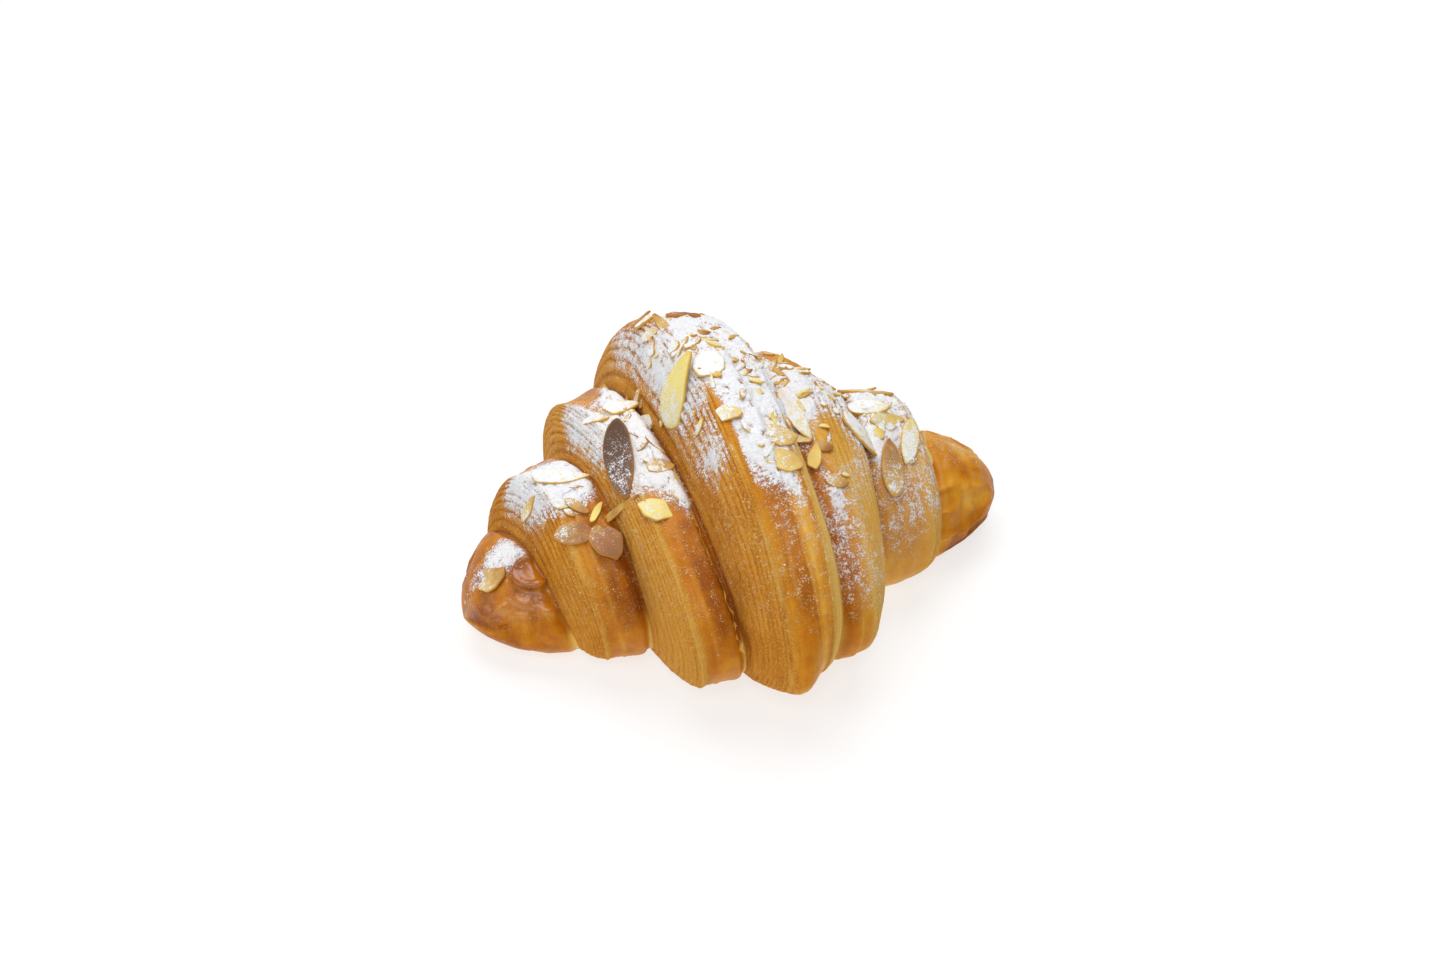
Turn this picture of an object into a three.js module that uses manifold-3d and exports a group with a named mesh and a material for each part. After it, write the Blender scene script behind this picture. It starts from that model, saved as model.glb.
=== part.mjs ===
// An almond croissant: a long triangle of layered dough rolled up from its wide end, baked and topped with
// flaked almonds. Millimetres, +Z up, +X along the roll, -Y to the front. The origin lies on the tray,
// under the middle of the croissant's box.

import * as THREE from 'three';
import { mergeVertices } from 'three/addons/utils/BufferGeometryUtils.js';
import Module from 'manifold-3d';

const wasm = await Module();
wasm.setup();

// The two halves of the roll. Lengths run outwards from the middle of the last turn of dough.
// Each list has the outermost turn first. An edge is where a turn ends at the front of the roll, winding is
// how far that edge moves outwards in a full turn, riser is how long its cut side is, measured along the
// roll, and groove is the depth of the crease outside it.
const LEFT = {
  sign: -1,
  tip: 69,
  edge: [12.6, 30, 46.3],
  winding: [16, 15.5, 22],
  riser: [6, 6, 5],
  layerWidth: [8, 18, 7],
  layerHeight: [18.5, 5.5, 13.5],
  groove: [3.6, 2.6, 1.6],
  knobWidth: 26,
  knobHeight: 32.5,
  blunt: 3,
  taper: 0.62,
};
const RIGHT = {
  sign: 1,
  tip: 75,
  edge: [9.3, 28.2, 50],
  winding: [16, 22, 17],
  riser: [5, 10, 6],
  layerWidth: [6, 21.5, 5.5],
  layerHeight: [18.5, 6, 11.5],
  groove: [2, 1.2, 1.8],
  knobWidth: 26,
  knobHeight: 34,
  blunt: 2.8,
  taper: 0.56,
};

// The roll's cross-section and the relief of its crust
const RISER_SHARE = 0.9;
const CROWN_LENGTH = 17;
const LEDGES = 4;
const LEDGE_STEEP_SHARE = 0.55;
const LEDGE_RELIEF = 0.35;
const GROOVE_WIDTH = 1.5;
const GROOVE_OUTSIDE = 0.4;
const WAIST_SHARE = 0.45;
const FRONT_ROUNDNESS = 1.75;
const BACK_ROUNDNESS = 1.56;
const UNDER_ROUNDNESS = 2.3;
const UNDER_DEPTH = 1.12;
const TIP_LIFT = 9;
const TIP_FORWARD = 1.8;
const LUMP_SHARE = 0.012;

// The tail of the dough triangle, a pointed lip at the foot of the last turn
const LIP = { reach: 6, along: -3.5, halfLength: 4.5, around: -20, halfAngle: 22 };

// Swellings and dents of the crust: place along and around the roll, size, and height
const SWELLINGS = [
  { along: -51, around: 60, spread: 5, rise: 1.4 },
  { along: -60, around: 20, spread: 6, rise: -0.8 },
  { along: 62, around: 60, spread: 6, rise: 0.9 },
  { along: 57, around: 20, spread: 5, rise: -0.8 },
  { along: -8, around: 122, spread: 8.5, rise: 3.2 },
];

// Mesh density
const RING_ANGLES = 34;
const BASE_ANGLE = 64;
const UNDER_ANGLES = 4;
const CROWN_STATIONS = 3;
const KNOB_STATIONS = 8;

// Almond flakes: along the roll, degrees around it (0 front, 90 top), turn from the roll's direction, tilt of
// the far end, roll of the upper side, length and width
const FLAKE_THICKNESS = 1.1;
const FLAKE_SINK = 0.45;
const FLAKE_SIDES = 12;
const FLAKE_TAPER = 0.22;
const FLAKE_BOW = 0.012;
const FLAKES = [
  [-9.5, 87, 7, 4, 20, 21, 9.5],
  [-24, 86, 76, 4, 0, 26, 7.2],
  [-22, 61, -16, -4, -6, 10, 7.2],
  [-39, 61, -12, -4, 0, 10, 6.4],
  [-34, 51, -82, 12, -8, 10.5, 7.6],
  [-29, 64, 18, -8, 4, 14, 1.8],
  [-33.5, 66, 43, 4, 0, 6, 2],
  [-36.5, 73, -58, 1, 0, 7.5, 2.4],
  [-59, 81, -2, 8, -8, 9, 7],
  [-44, 96, -2, -6, 12, 8, 3.2],
  [-36.5, 98, -29, -6, 10, 16, 4.2],
  [-17, 111, -11, -4, 0, 9.5, 7],
  [-12.5, 103, -47, -6, 0, 10.5, 4.4],
  [-17, 75, -14, 0, 0, 6.5, 5.2],
  [-4.5, 122, 89, 34, 0, 11, 3.4],
  [-0.5, 124, -28, -3, 0, 9, 3.6],
  [-5, 69, -22, 11, 0, 7, 4.8],
  [2, 61, -18, 6, 0, 11.5, 6.2],
  [2, 54, -9, 3, 0, 9.5, 6],
  [12, 83, -86, 0, 0, 20, 4.6],
  [12.5, 66, 66, -6, -10, 8.5, 3.4],
  [15.5, 57, -24, 3, 0, 6, 3.6],
  [33.5, 52, 79, 1, 0, 15.5, 6.4],
  [32.5, 89, -23, 8, 0, 11, 6],
  [27, 70, -60, 4, 0, 16.5, 8],
  [41.5, 68, 65, 4, 0, 15, 5],
  [51, 90, 83, 4, 0, 13, 3],
  [29, 118, -15, 14, 0, 9, 3.2],
  [39, 118, -27, 6, 0, 9, 3.2],
  [-4, 85, -29, -2, 3, 8, 8.4],
  [-8.5, 115, -45, -4, 8, 7, 3.4],
  [36.5, 80, 9, -4, 10, 12, 4.6],
  [35, 122, -34, -4, 0, 12, 3.6],
  [-7.5, 122, -40, 4, 0, 7, 4],
  [-23, 114, -62, 3, 0, 10, 4.2],
];

// Smaller flakes strewn along the ridge
const STREWN = { count: 18, along: [-14, 40], around: [72, 122], length: [4, 8], width: [2, 3.6] };

/** A share between 0 and 1, spread evenly over the counts and different for each stream. */
function spread(count, stream) {
  const strides = [0.61803, 0.75488, 0.5698, 0.81917, 0.6711, 0.5497];
  return ((count + 1) * strides[stream]) % 1;
}

/** A value from low to high that starts and ends level. */
function ease(t) {
  const x = Math.min(1, Math.max(0, t));
  return x * x * (3 - 2 * x);
}

/** How far up a riser its cut layers reach: small ledges, each steep first and then nearly level. */
function ledged(t) {
  const place = Math.min(t, 0.99999) * LEDGES;
  const ledge = Math.floor(place);
  const climbed = (ledge + Math.min(1, (place - ledge) / LEDGE_STEEP_SHARE)) / LEDGES;
  return t + (climbed - t) * LEDGE_RELIEF;
}

/** Share of a turn's thickness at a distance inside its edge: a steep riser, then a crown that levels off. */
function layerShare(inside, riser, relief) {
  if (inside <= 0) return 0;
  const t = Math.min(1, inside / riser);
  const climb = 1 - Math.pow(1 - (relief ? ledged(t) : t), 1.8);
  const crown = ease((inside - 0.55 * riser) / (CROWN_LENGTH - 0.55 * riser));
  return RISER_SHARE * climb + (1 - RISER_SHARE) * crown;
}

/** Half width and height of the roll at a distance out from the middle, with the groove outside each edge. */
function sectionSize(half, out, relief) {
  const nose = Math.pow(Math.max(1e-9, 1 - Math.pow(out / half.tip, half.blunt)), half.taper);
  let width = half.knobWidth * nose;
  let height = half.knobHeight * nose;
  half.edge.forEach((edge, k) => {
    const share = layerShare(edge - out, half.riser[k], relief);
    const groove = half.groove[k] * Math.exp(-(((out - edge - GROOVE_OUTSIDE) / GROOVE_WIDTH) ** 2));
    width += half.layerWidth[k] * share - groove;
    height += half.layerHeight[k] * share - groove;
  });
  return { width: Math.max(width, 0), height: Math.max(height, 0) };
}

/** Turns wound at an angle round the roll. Under the flat base the winding runs back to close the ring. */
function turnsAt(degrees) {
  if (degrees >= -60) return degrees / 360;
  return -60 / 360 + ((-60 - degrees) / 60) * (300 / 360);
}

/** Place along the roll of a point that is `out` from the middle at the front, after winding to the angle. */
function woundOut(half, out, degrees) {
  const turns = turnsAt(degrees);
  const from = [0, ...half.edge, half.tip];
  const to = [0, ...half.edge.map((edge, k) => edge + half.winding[k] * turns), half.tip];
  let k = 0;
  while (k < from.length - 2 && out > from[k + 1]) k += 1;
  return to[k] + ((out - from[k]) * (to[k + 1] - to[k])) / (from[k + 1] - from[k]);
}

/** Gentle unevenness of the dough, as a share of its size. */
function lumps(along, angle) {
  const broad = Math.sin(0.17 * along + 2 * angle) + 0.7 * Math.sin(0.29 * along - 3 * angle + 1.3);
  return LUMP_SHARE * (broad + 0.5 * Math.sin(0.41 * along + 5 * angle + 2.1));
}

/** Height of the swellings and dents at a place on the crust. */
function swelling(out, degrees) {
  let rise = 0;
  for (const place of SWELLINGS) {
    const across = (out - place.along) / place.spread;
    const around = ((degrees - place.around) * Math.PI * 22) / 180 / place.spread;
    rise += place.rise * Math.exp(-across * across - around * around);
  }
  return rise;
}

/** Point of the crust at a place along the roll (minus is left) and an angle round it (0 front, 90 top). */
function crustPoint(place, degrees, relief = true) {
  const half = place < 0 ? LEFT : RIGHT;
  const out = Math.abs(place);
  const angle = THREE.MathUtils.degToRad(degrees);
  const along = half.sign * woundOut(half, out, degrees);
  const size = sectionSize(half, out, relief);
  const grow = 1 + lumps(along, angle);
  const bump = swelling(place, degrees);
  const width = size.width * grow + bump;
  const height = size.height * grow + bump;
  const waist = WAIST_SHARE * height;
  const cosine = Math.cos(angle);
  const sine = Math.sin(angle);
  const upper = 2 / (cosine >= 0 ? FRONT_ROUNDNESS : BACK_ROUNDNESS);
  const power = sine >= 0 ? upper : 2 / UNDER_ROUNDNESS;
  const rise = Math.pow(Math.abs(sine), power);
  const across = Math.sign(cosine) * Math.pow(Math.abs(cosine), power);
  const end = Math.min(1, Math.abs(along) / half.tip);
  const lipAlong = (along - LIP.along) / LIP.halfLength;
  const lipAround = (degrees - LIP.around) / LIP.halfAngle;
  const lip = LIP.reach * Math.exp(-lipAlong * lipAlong - lipAround * lipAround);
  const y = -width * across - lip - TIP_FORWARD * end * end;
  const z = sine >= 0 ? waist + (height - waist) * rise : waist * (1 - UNDER_DEPTH * rise);
  return new THREE.Vector3(along, y, z + TIP_LIFT * Math.pow(end, 8));
}

/** Distances out from the middle where one half gets a ring: crowns, risers with ledges, and the knob. */
function stations(half) {
  const places = [];
  let inner = 0;
  half.edge.forEach((edge, k) => {
    const shoulder = edge - half.riser[k];
    for (let i = 0; i < CROWN_STATIONS; i += 1) {
      places.push(inner + ((shoulder - inner) * i) / CROWN_STATIONS);
    }
    for (let ledge = LEDGES; ledge > 0; ledge -= 1) {
      places.push(edge - (half.riser[k] * ledge) / LEDGES);
      places.push(edge - (half.riser[k] * (ledge - 1 + LEDGE_STEEP_SHARE)) / LEDGES);
    }
    places.push(edge);
    inner = edge + GROOVE_OUTSIDE + GROOVE_WIDTH;
  });
  for (let i = 0; i < KNOB_STATIONS; i += 1) {
    places.push(inner + (half.tip - inner) * Math.sin((Math.PI / 2) * (i / KNOB_STATIONS)));
  }
  return places;
}

/** Angles of a ring: closely spaced over the crust that shows, wider apart under the base. */
function ringAngles() {
  const angles = [];
  const shown = 180 + 2 * BASE_ANGLE;
  for (let i = 0; i < RING_ANGLES; i += 1) angles.push(-BASE_ANGLE + (shown * i) / RING_ANGLES);
  const under = 360 - shown;
  for (let i = 0; i < UNDER_ANGLES; i += 1) {
    const degrees = 180 + BASE_ANGLE + (under * i) / UNDER_ANGLES;
    angles.push(degrees > 240 ? degrees - 360 : degrees);
  }
  return angles;
}

/** Closed surface of the roll: rings from the left tip to the right tip, each tip a single point. */
function rollGeometry() {
  const left = stations(LEFT).map((out) => -out);
  const places = [...left.slice(1).reverse(), ...stations(RIGHT)];
  const angles = ringAngles();
  const points = [];
  for (const place of places) {
    for (const degrees of angles) points.push(crustPoint(place, degrees));
  }
  const leftTip = points.push(crustPoint(-LEFT.tip, 0)) - 1;
  const rightTip = points.push(crustPoint(RIGHT.tip, 0)) - 1;
  const around = angles.length;
  const last = (places.length - 1) * around;
  const faces = [];
  for (let j = 0; j < around; j += 1) {
    const next = (j + 1) % around;
    for (let ring = 0; ring < last; ring += around) {
      faces.push(ring + j, ring + around + j, ring + around + next);
      faces.push(ring + j, ring + around + next, ring + next);
    }
    faces.push(leftTip, j, next);
    faces.push(rightTip, last + next, last + j);
  }
  const geometry = new THREE.BufferGeometry().setFromPoints(points);
  geometry.setIndex(faces);
  return geometry;
}

/** A flat almond slice: pointed at one end, blunt at the other, bowed along its length. */
function flakeGeometry(length, width) {
  const outline = [];
  for (let i = 0; i < FLAKE_SIDES; i += 1) {
    const angle = (2 * Math.PI * i) / FLAKE_SIDES;
    const taper = 1 - FLAKE_TAPER * Math.cos(angle);
    outline.push(new THREE.Vector2((length / 2) * Math.cos(angle), (width / 2) * Math.sin(angle) * taper));
  }
  const geometry = new THREE.ExtrudeGeometry(new THREE.Shape(outline), {
    depth: FLAKE_THICKNESS,
    bevelEnabled: false,
  });
  const position = geometry.attributes.position;
  for (let i = 0; i < position.count; i += 1) {
    const x = position.getX(i);
    position.setZ(i, position.getZ(i) - FLAKE_SINK - FLAKE_BOW * x * x);
  }
  return geometry;
}

/** A flake set on the crust: turned in the crust's own plane, tilted so that its far end lifts, and rolled. */
function placedFlake([along, around, turn, tilt, roll, length, width]) {
  const point = crustPoint(along, around, false);
  const ahead = crustPoint(along + 2, around, false).sub(crustPoint(along - 2, around, false)).normalize();
  const upward = crustPoint(along, around + 4, false).sub(crustPoint(along, around - 4, false));
  const normal = new THREE.Vector3().crossVectors(ahead, upward).normalize();
  const sideways = new THREE.Vector3().crossVectors(normal, ahead);
  const frame = new THREE.Matrix4().makeBasis(ahead, sideways, normal);
  frame.setPosition(point);
  frame.multiply(new THREE.Matrix4().makeRotationZ(THREE.MathUtils.degToRad(turn)));
  frame.multiply(new THREE.Matrix4().makeRotationY(THREE.MathUtils.degToRad(-tilt)));
  frame.multiply(new THREE.Matrix4().makeRotationX(THREE.MathUtils.degToRad(roll)));
  return flakeGeometry(length, width).applyMatrix4(frame);
}

/** Rows for the strewn flakes, in the same order of values as the placed ones. */
function strewnFlakes() {
  const between = (low, high, share) => low + (high - low) * share;
  const rows = [];
  for (let i = 0; i < STREWN.count; i += 1) {
    rows.push([
      between(...STREWN.along, spread(i, 0)),
      between(...STREWN.around, spread(i, 1)),
      between(-90, 90, spread(i, 2)),
      between(-4, 14, spread(i, 3)),
      0,
      between(...STREWN.length, spread(i, 4)),
      between(...STREWN.width, spread(i, 5)),
    ]);
  }
  return rows;
}

/** A closed geometry as a solid that can be united and cut. */
function solidOf(geometry) {
  const bare = new THREE.BufferGeometry();
  bare.setAttribute('position', geometry.attributes.position);
  if (geometry.index) bare.setIndex(geometry.index);
  const merged = mergeVertices(bare, 1e-4);
  const mesh = new wasm.Mesh({
    numProp: 3,
    vertProperties: new Float32Array(merged.attributes.position.array),
    triVerts: new Uint32Array(merged.index.array),
  });
  return new wasm.Manifold(mesh);
}

/** The solid without the pockets that flakes seal off against the crust: its largest skin, filled. */
function filled(solid) {
  return solid.decompose().reduce((best, skin) => (skin.volume() > best.volume() ? skin : best));
}

/** The solid as a geometry with its box's bottom middle at the origin. */
function centredGeometry(solid) {
  const mesh = solid.getMesh();
  const geometry = new THREE.BufferGeometry();
  geometry.setAttribute('position', new THREE.BufferAttribute(new Float32Array(mesh.vertProperties), 3));
  geometry.setIndex(new THREE.BufferAttribute(new Uint32Array(mesh.triVerts), 1));
  geometry.computeBoundingBox();
  const middle = geometry.boundingBox.getCenter(new THREE.Vector3());
  geometry.translate(-middle.x, -middle.y, -geometry.boundingBox.min.z);
  geometry.computeVertexNormals();
  return geometry;
}

// Build: the roll, cut flat where it lay on the tray, with every flake fused on
const tray = new THREE.BoxGeometry(400, 400, 40).translate(0, 0, -20);
let croissantSolid = solidOf(rollGeometry()).subtract(solidOf(tray));
for (const row of [...FLAKES, ...strewnFlakes()]) {
  croissantSolid = croissantSolid.add(solidOf(placedFlake(row)));
}

const crust = new THREE.MeshStandardMaterial({ color: 0xc98a3c, roughness: 0.6 });
const croissant = new THREE.Mesh(centredGeometry(filled(croissantSolid)), crust);
croissant.name = 'croissant';

const group = new THREE.Group();
group.name = 'almond_croissant';
group.add(croissant);

export default group;
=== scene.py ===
"""Dresses the almond croissant: its wound crust, lifted pastry edges, almond flakes and icing sugar."""
import math
from types import SimpleNamespace

import bpy
import numpy as np
from bpy.props import FloatProperty, FloatVectorProperty, IntProperty, PointerProperty
from bpy.types import Operator, Panel, PropertyGroup
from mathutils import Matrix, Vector


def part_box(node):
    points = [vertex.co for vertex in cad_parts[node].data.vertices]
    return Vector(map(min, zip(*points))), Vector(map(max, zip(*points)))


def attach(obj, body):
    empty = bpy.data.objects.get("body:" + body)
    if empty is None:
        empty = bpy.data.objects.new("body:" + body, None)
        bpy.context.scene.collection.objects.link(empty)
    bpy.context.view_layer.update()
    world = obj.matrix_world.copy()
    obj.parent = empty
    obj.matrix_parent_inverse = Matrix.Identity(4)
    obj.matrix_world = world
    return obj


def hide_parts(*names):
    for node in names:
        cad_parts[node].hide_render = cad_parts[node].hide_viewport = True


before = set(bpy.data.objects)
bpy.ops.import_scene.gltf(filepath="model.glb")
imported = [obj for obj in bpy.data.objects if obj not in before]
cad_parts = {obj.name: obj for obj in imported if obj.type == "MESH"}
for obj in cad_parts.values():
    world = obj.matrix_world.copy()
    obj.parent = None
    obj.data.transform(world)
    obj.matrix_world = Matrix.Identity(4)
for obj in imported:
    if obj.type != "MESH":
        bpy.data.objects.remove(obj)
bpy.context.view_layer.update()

bl_info = {
    "name": "Almond croissant",
    "version": (1, 0, 0),
    "blender": (4, 5, 0),
    "location": "3D View > Sidebar > Croissant",
    "description": "Makes an almond croissant with a laminated crust, almond flakes and icing sugar",
    "category": "Add Mesh",
}

MM = 0.001
NODE = "croissant"
BODY = "root"

# The two halves of the roll in millimetres, left half first, and the turns from the middle outwards.
# An edge is where a turn ends at the front, winding is how far it moves outwards in a full turn.
TIP = (69.0, 75.0)
EDGE = ((12.6, 30.0, 46.3), (9.3, 28.2, 50.0))
WINDING = ((16.0, 15.5, 22.0), (16.0, 22.0, 17.0))
RISER = ((6.0, 6.0, 5.0), (5.0, 10.0, 6.0))
GROOVE = ((3.6, 2.6, 1.6), (2.0, 1.2, 1.8))
LAYER_WIDTH = ((8.0, 18.0, 7.0), (6.0, 21.5, 5.5))
LAYER_HEIGHT = ((18.5, 5.5, 13.5), (18.5, 6.0, 11.5))
LAMINAE = ((9, 10, 8), (4, 8, 4))
KNOB_WIDTH = (26.0, 26.0)
KNOB_HEIGHT = (32.5, 34.0)
BLUNT = (3.0, 2.8)
TAPER = (0.62, 0.56)
TURNS = 3
# Turns are numbered outwards from 0 on the left, and from this number on the right
RIGHT_NUMBER = 10
# A distance that stands for no edge nearby
FAR = 99.0

# The cross-section and the coarse relief of the crust
RISER_SHARE = 0.9
CLIMB_POWER = 1.8
CROWN_START = 0.55
CROWN_LENGTH = 17.0
GROOVE_WIDTH = 1.5
GROOVE_OUTSIDE = 0.4
WAIST_SHARE = 0.45
FRONT_ROUNDNESS = 1.75
BACK_ROUNDNESS = 1.56
UNDER_ROUNDNESS = 2.3
UNDER_DEPTH = 1.12
TIP_LIFT = 9.0
TIP_FORWARD = 1.8
# Under the base, from this angle and within this span, an edge runs back to where it lies behind
UNDER_START = -60.0
UNDER_SPAN = 60.0
FULL_TURN = 360.0
LUMP_SHARE = 0.012
# Broad lumps as waves: weight, radians in a millimetre along, waves round the roll and phase
LUMPS = (
    (1.0, 0.17, 2, 0.0),
    (0.7, 0.29, -3, 1.3),
    (0.5, 0.41, 5, 2.1),
)
LIP_REACH = 6.0
LIP_ALONG = -3.5
LIP_HALF_LENGTH = 4.5
LIP_AROUND = -20.0
LIP_HALF_ANGLE = 22.0
# Swellings: place along, degrees around, spread and rise
SWELLINGS = (
    (-51, 60, 5, 1.4),
    (-60, 20, 6, -0.8),
    (62, 60, 6, 0.9),
    (57, 20, 5, -0.8),
    (-8, 122, 8.5, 3.2),
)
SWELLING_RADIUS = 22.0
# Steps in millimetres and degrees for directions on the roll
FRAME_STEP = 2.0
FRAME_ANGLE = 4.0

# Rings of the crust's mesh
CROWN_RINGS = 22
RISER_RINGS = 46
KNOB_RINGS = 46
SHOWN_ANGLES = 182
UNDER_ANGLES = 18
BASE_ANGLE = 64.0

# Almond flakes: place along, degrees around, turn, tilt, roll, length, width, then toasting, dusting and
# how far a flake is broken, from 0 to 1
FLAKES = (
    (-9.5, 87, 7, 2, 3, 21, 9.0, 0.00, 0.40, 0.05),
    (-24, 86, 76, 0, 0, 26, 7.2, 0.95, 0.28, 0.05),
    (-22, 61, -16, -4, -6, 10, 7.2, 0.06, 0.34, 0.55),
    (-39, 61, -12, -4, 0, 10, 6.4, 0.55, 0.28, 0.50),
    (-34, 51, -82, 12, -8, 10.5, 7.6, 0.62, 0.22, 0.35),
    (-29, 64, 18, -8, 4, 14, 1.8, 0.42, 0.05, 0.15),
    (-33.5, 66, 43, 4, 0, 6, 2, 0.12, 0.10, 0.55),
    (-36.5, 73, -58, 1, 0, 7.5, 2.4, 0.45, 0.30, 0.15),
    (-59, 81, -2, 8, -8, 9, 7, 0.40, 0.35, 0.60),
    (-44, 96, -2, -6, 12, 8, 3.2, 0.30, 0.45, 0.75),
    (-36.5, 98, -29, -6, 10, 16, 4.2, 0.08, 0.80, 0.55),
    (-17, 111, -11, -4, 0, 9.5, 7, 0.08, 0.80, 0.55),
    (-12.5, 103, -47, -6, 0, 10.5, 4.4, 0.10, 0.74, 0.55),
    (-17, 75, -14, 0, 0, 6.5, 5.2, 0.42, 0.42, 0.95),
    (-6.3, 114, 97, 26, 0, 10.5, 2.6, 0.42, 0.30, 0.35),
    (-0.5, 124, -28, -3, 0, 9, 3.6, 0.70, 0.20, 0.15),
    (-5, 69, -22, 11, 0, 7, 4.8, 0.18, 0.60, 0.70),
    (2, 61, -18, 6, 0, 11.5, 6.2, 0.30, 0.50, 0.75),
    (2, 54, -9, 3, 0, 9.5, 6, 0.28, 0.28, 0.90),
    (12, 83, -86, 0, 0, 20, 4.6, 0.05, 0.76, 0.15),
    (12.5, 66, 66, -6, -10, 8.5, 3.4, 0.20, 0.05, 0.90),
    (15.5, 57, -24, 3, 0, 6, 3.6, 0.42, 0.35, 0.15),
    (33.5, 52, 79, 1, 0, 15.5, 6.4, 0.48, 0.34, 0.05),
    (32.5, 89, -23, 8, 0, 11, 6, 0.05, 0.78, 0.15),
    (27, 70, -60, 4, 0, 16.5, 8, 0.22, 0.68, 0.35),
    (41.5, 68, 65, 4, 0, 15, 5, 0.10, 0.64, 0.15),
    (51, 90, 83, 4, 0, 13, 3, 0.25, 0.12, 0.15),
    (29, 118, -15, 14, 0, 9, 3.2, 0.45, 0.30, 0.55),
    (39, 118, -27, 6, 0, 9, 3.2, 0.40, 0.30, 0.15),
    (-4, 85, -29, -2, 3, 8, 8.4, 0.05, 0.90, 0.60),
    (-8.5, 115, -45, -4, 8, 7, 3.4, 0.20, 0.60, 0.75),
    (36.5, 80, 9, -4, 10, 12, 4.6, 0.22, 0.35, 0.75),
    (35, 122, -34, -4, 0, 12, 3.6, 0.30, 0.50, 0.15),
    (-7.5, 122, -40, 4, 0, 7, 4, 0.15, 0.70, 0.75),
    (-23, 114, -62, 3, 0, 10, 4.2, 0.20, 0.74, 0.60),
)
# Small broken pieces that catch the eye, in the same order of values
BITS = (
    (15.5, 69, -32, 9, 0, 5, 3.6, 0.50, 0.15, 0.15),
    (17, 120, 65, 24, 0, 8, 2, 0.30, 0.20, 0.75),
    (14, 108, -83, 0, 0, 11, 1.6, 0.42, 0.15, 0.15),
    (2.5, 111, -7, 14, 0, 3.6, 2.2, 0.55, 0.05, 0.90),
    (-1, 106, -13, 14, 0, 3.2, 2.6, 0.55, 0.05, 0.90),
    (4, 105, 34, 8, 0, 4.5, 1.4, 0.42, 0.10, 0.15),
    (5.5, 102, 51, 10, 0, 4, 1.4, 0.42, 0.10, 0.15),
    (16, 92, -2, 9, 0, 5.5, 2, 0.42, 0.15, 0.55),
    (13, 104, -8, 2, 0, 3.5, 2.6, 0.42, 0.10, 0.90),
    (2.5, 83, 22, 6, 0, 3.5, 1.2, 0.50, 0.10, 0.15),
    (-7.2, 126, 14, 12, 0, 7, 2.2, 0.58, 0.15, 0.50),
    (-6.5, 100, 15, 4, 0, 7, 2.6, 0.30, 0.75, 0.75),
    (33, 70, 19, 6, 0, 4, 3.4, 0.20, 0.20, 0.90),
)
FLAKE_TAPER = 0.22
FLAKE_BOW = 0.012
FLAKE_SEAT = 0.35
# A flake longer than this stands off the crust by a share of the rest
FLAKE_LONG = 10.0
FLAKE_LIFT = 0.06
FLAKE_SIDES = 30
FLAKE_POINT = 1.2
FLAKE_BREAKS = 3
# Within this share of its outline a flake is a plain oval
FLAKE_CORE = 0.1
# A flake's profile from its top to its bottom: share of its outline, share of half its thickness and
# share of rim
FLAKE_PROFILE = (
    (0.03, 1.00, 0.0),
    (0.50, 1.00, 0.0),
    (0.86, 1.00, 0.0),
    (0.965, 0.97, 0.35),
    (1.00, 0.70, 1.0),
    (1.00, -0.70, 1.0),
    (0.96, -1.00, 0.8),
    (0.50, -1.00, 0.3),
    (0.03, -1.00, 0.3),
)
SLIVER_SIDES = 12
SLIVER_PROFILE = (
    (0.05, 1.00, 0.0),
    (0.80, 1.00, 0.0),
    (1.00, 0.55, 0.8),
    (1.00, -0.70, 1.0),
    (0.80, -1.00, 0.5),
    (0.05, -1.00, 0.5),
)
STREWN_COUNT = 18
SLIVER_COUNT = 120
SLIVER_THICKNESS_SHARE = 0.8
# Steps that spread shares evenly, one for each stream of values
STRIDES = (0.61803, 0.75488, 0.5698, 0.81917, 0.6711, 0.5497)
# Strewn flakes: from, to and stream of each value, in the order of the flakes' values
STREWN_RANGES = (
    (-14, 40, 0),
    (72, 122, 1),
    (-90, 90, 2),
    (-4, 14, 3),
    (0, 0, 0),
    (4, 8, 4),
    (2, 3.6, 5),
    (0.05, 0.5, 2),
    (0.45, 0.85, 5),
    (0.2, 1.0, 0),
)
# Slivers: middle and scatter along and around, their ends along, and from and to of their turn, tilt,
# length, width, toasting, dusting and how far they are broken
SLIVER_ALONG = (4.0, 19.0)
SLIVER_AROUND = (93.0, 17.0)
SLIVER_ENDS = (-44, 46)
SLIVER_RANGES = ((-90, 90), (-4, 24), (1.8, 5.5), (0.8, 2.2), (0.05, 0.5), (0.35, 0.85), (0.3, 1.0))

# Fine relief: laminae on the crowns, how far they run on past a shoulder, and where the second sheet ends
LAMINA_SPACING = 1.7
LAMINA_FADE = 1.9
SHEET_STEP = 3.4
# Turns whose cut sides show pale dough, and how much of it
PALE_CUTS = ((RIGHT_NUMBER + 1, 0.42), (RIGHT_NUMBER + 2, 0.10), (1, 0.14))
# The left knob's button (place along, degrees around, radius) and its folds (two ends, height and width)
KNOB_BUTTON = (-49.4, 66.0, 4.2)
KNOB_FOLDS = (
    ((-57.0, 54.0), (-52.0, 39.0), 1.7, 0.9),
    ((-52.6, 37.0), (-55.5, 8.0), -1.5, 0.8),
    ((-51.2, 37.0), (-53.6, 10.0), 1.2, 0.9),
    ((-52.0, 39.0), (-46.5, 30.0), 1.5, 0.9),
    ((-63.0, 36.0), (-59.0, 51.0), 1.2, 0.9),
    ((-58.5, 30.0), (-63.0, 14.0), -1.0, 1.0),
)
# The thin layer of sugar: the angle it lies evenly about, where it starts and how thick it is
SUGAR_MIDDLE = 97.0
SUGAR_START = 46.0
SUGAR_THIN = 0.79
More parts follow.
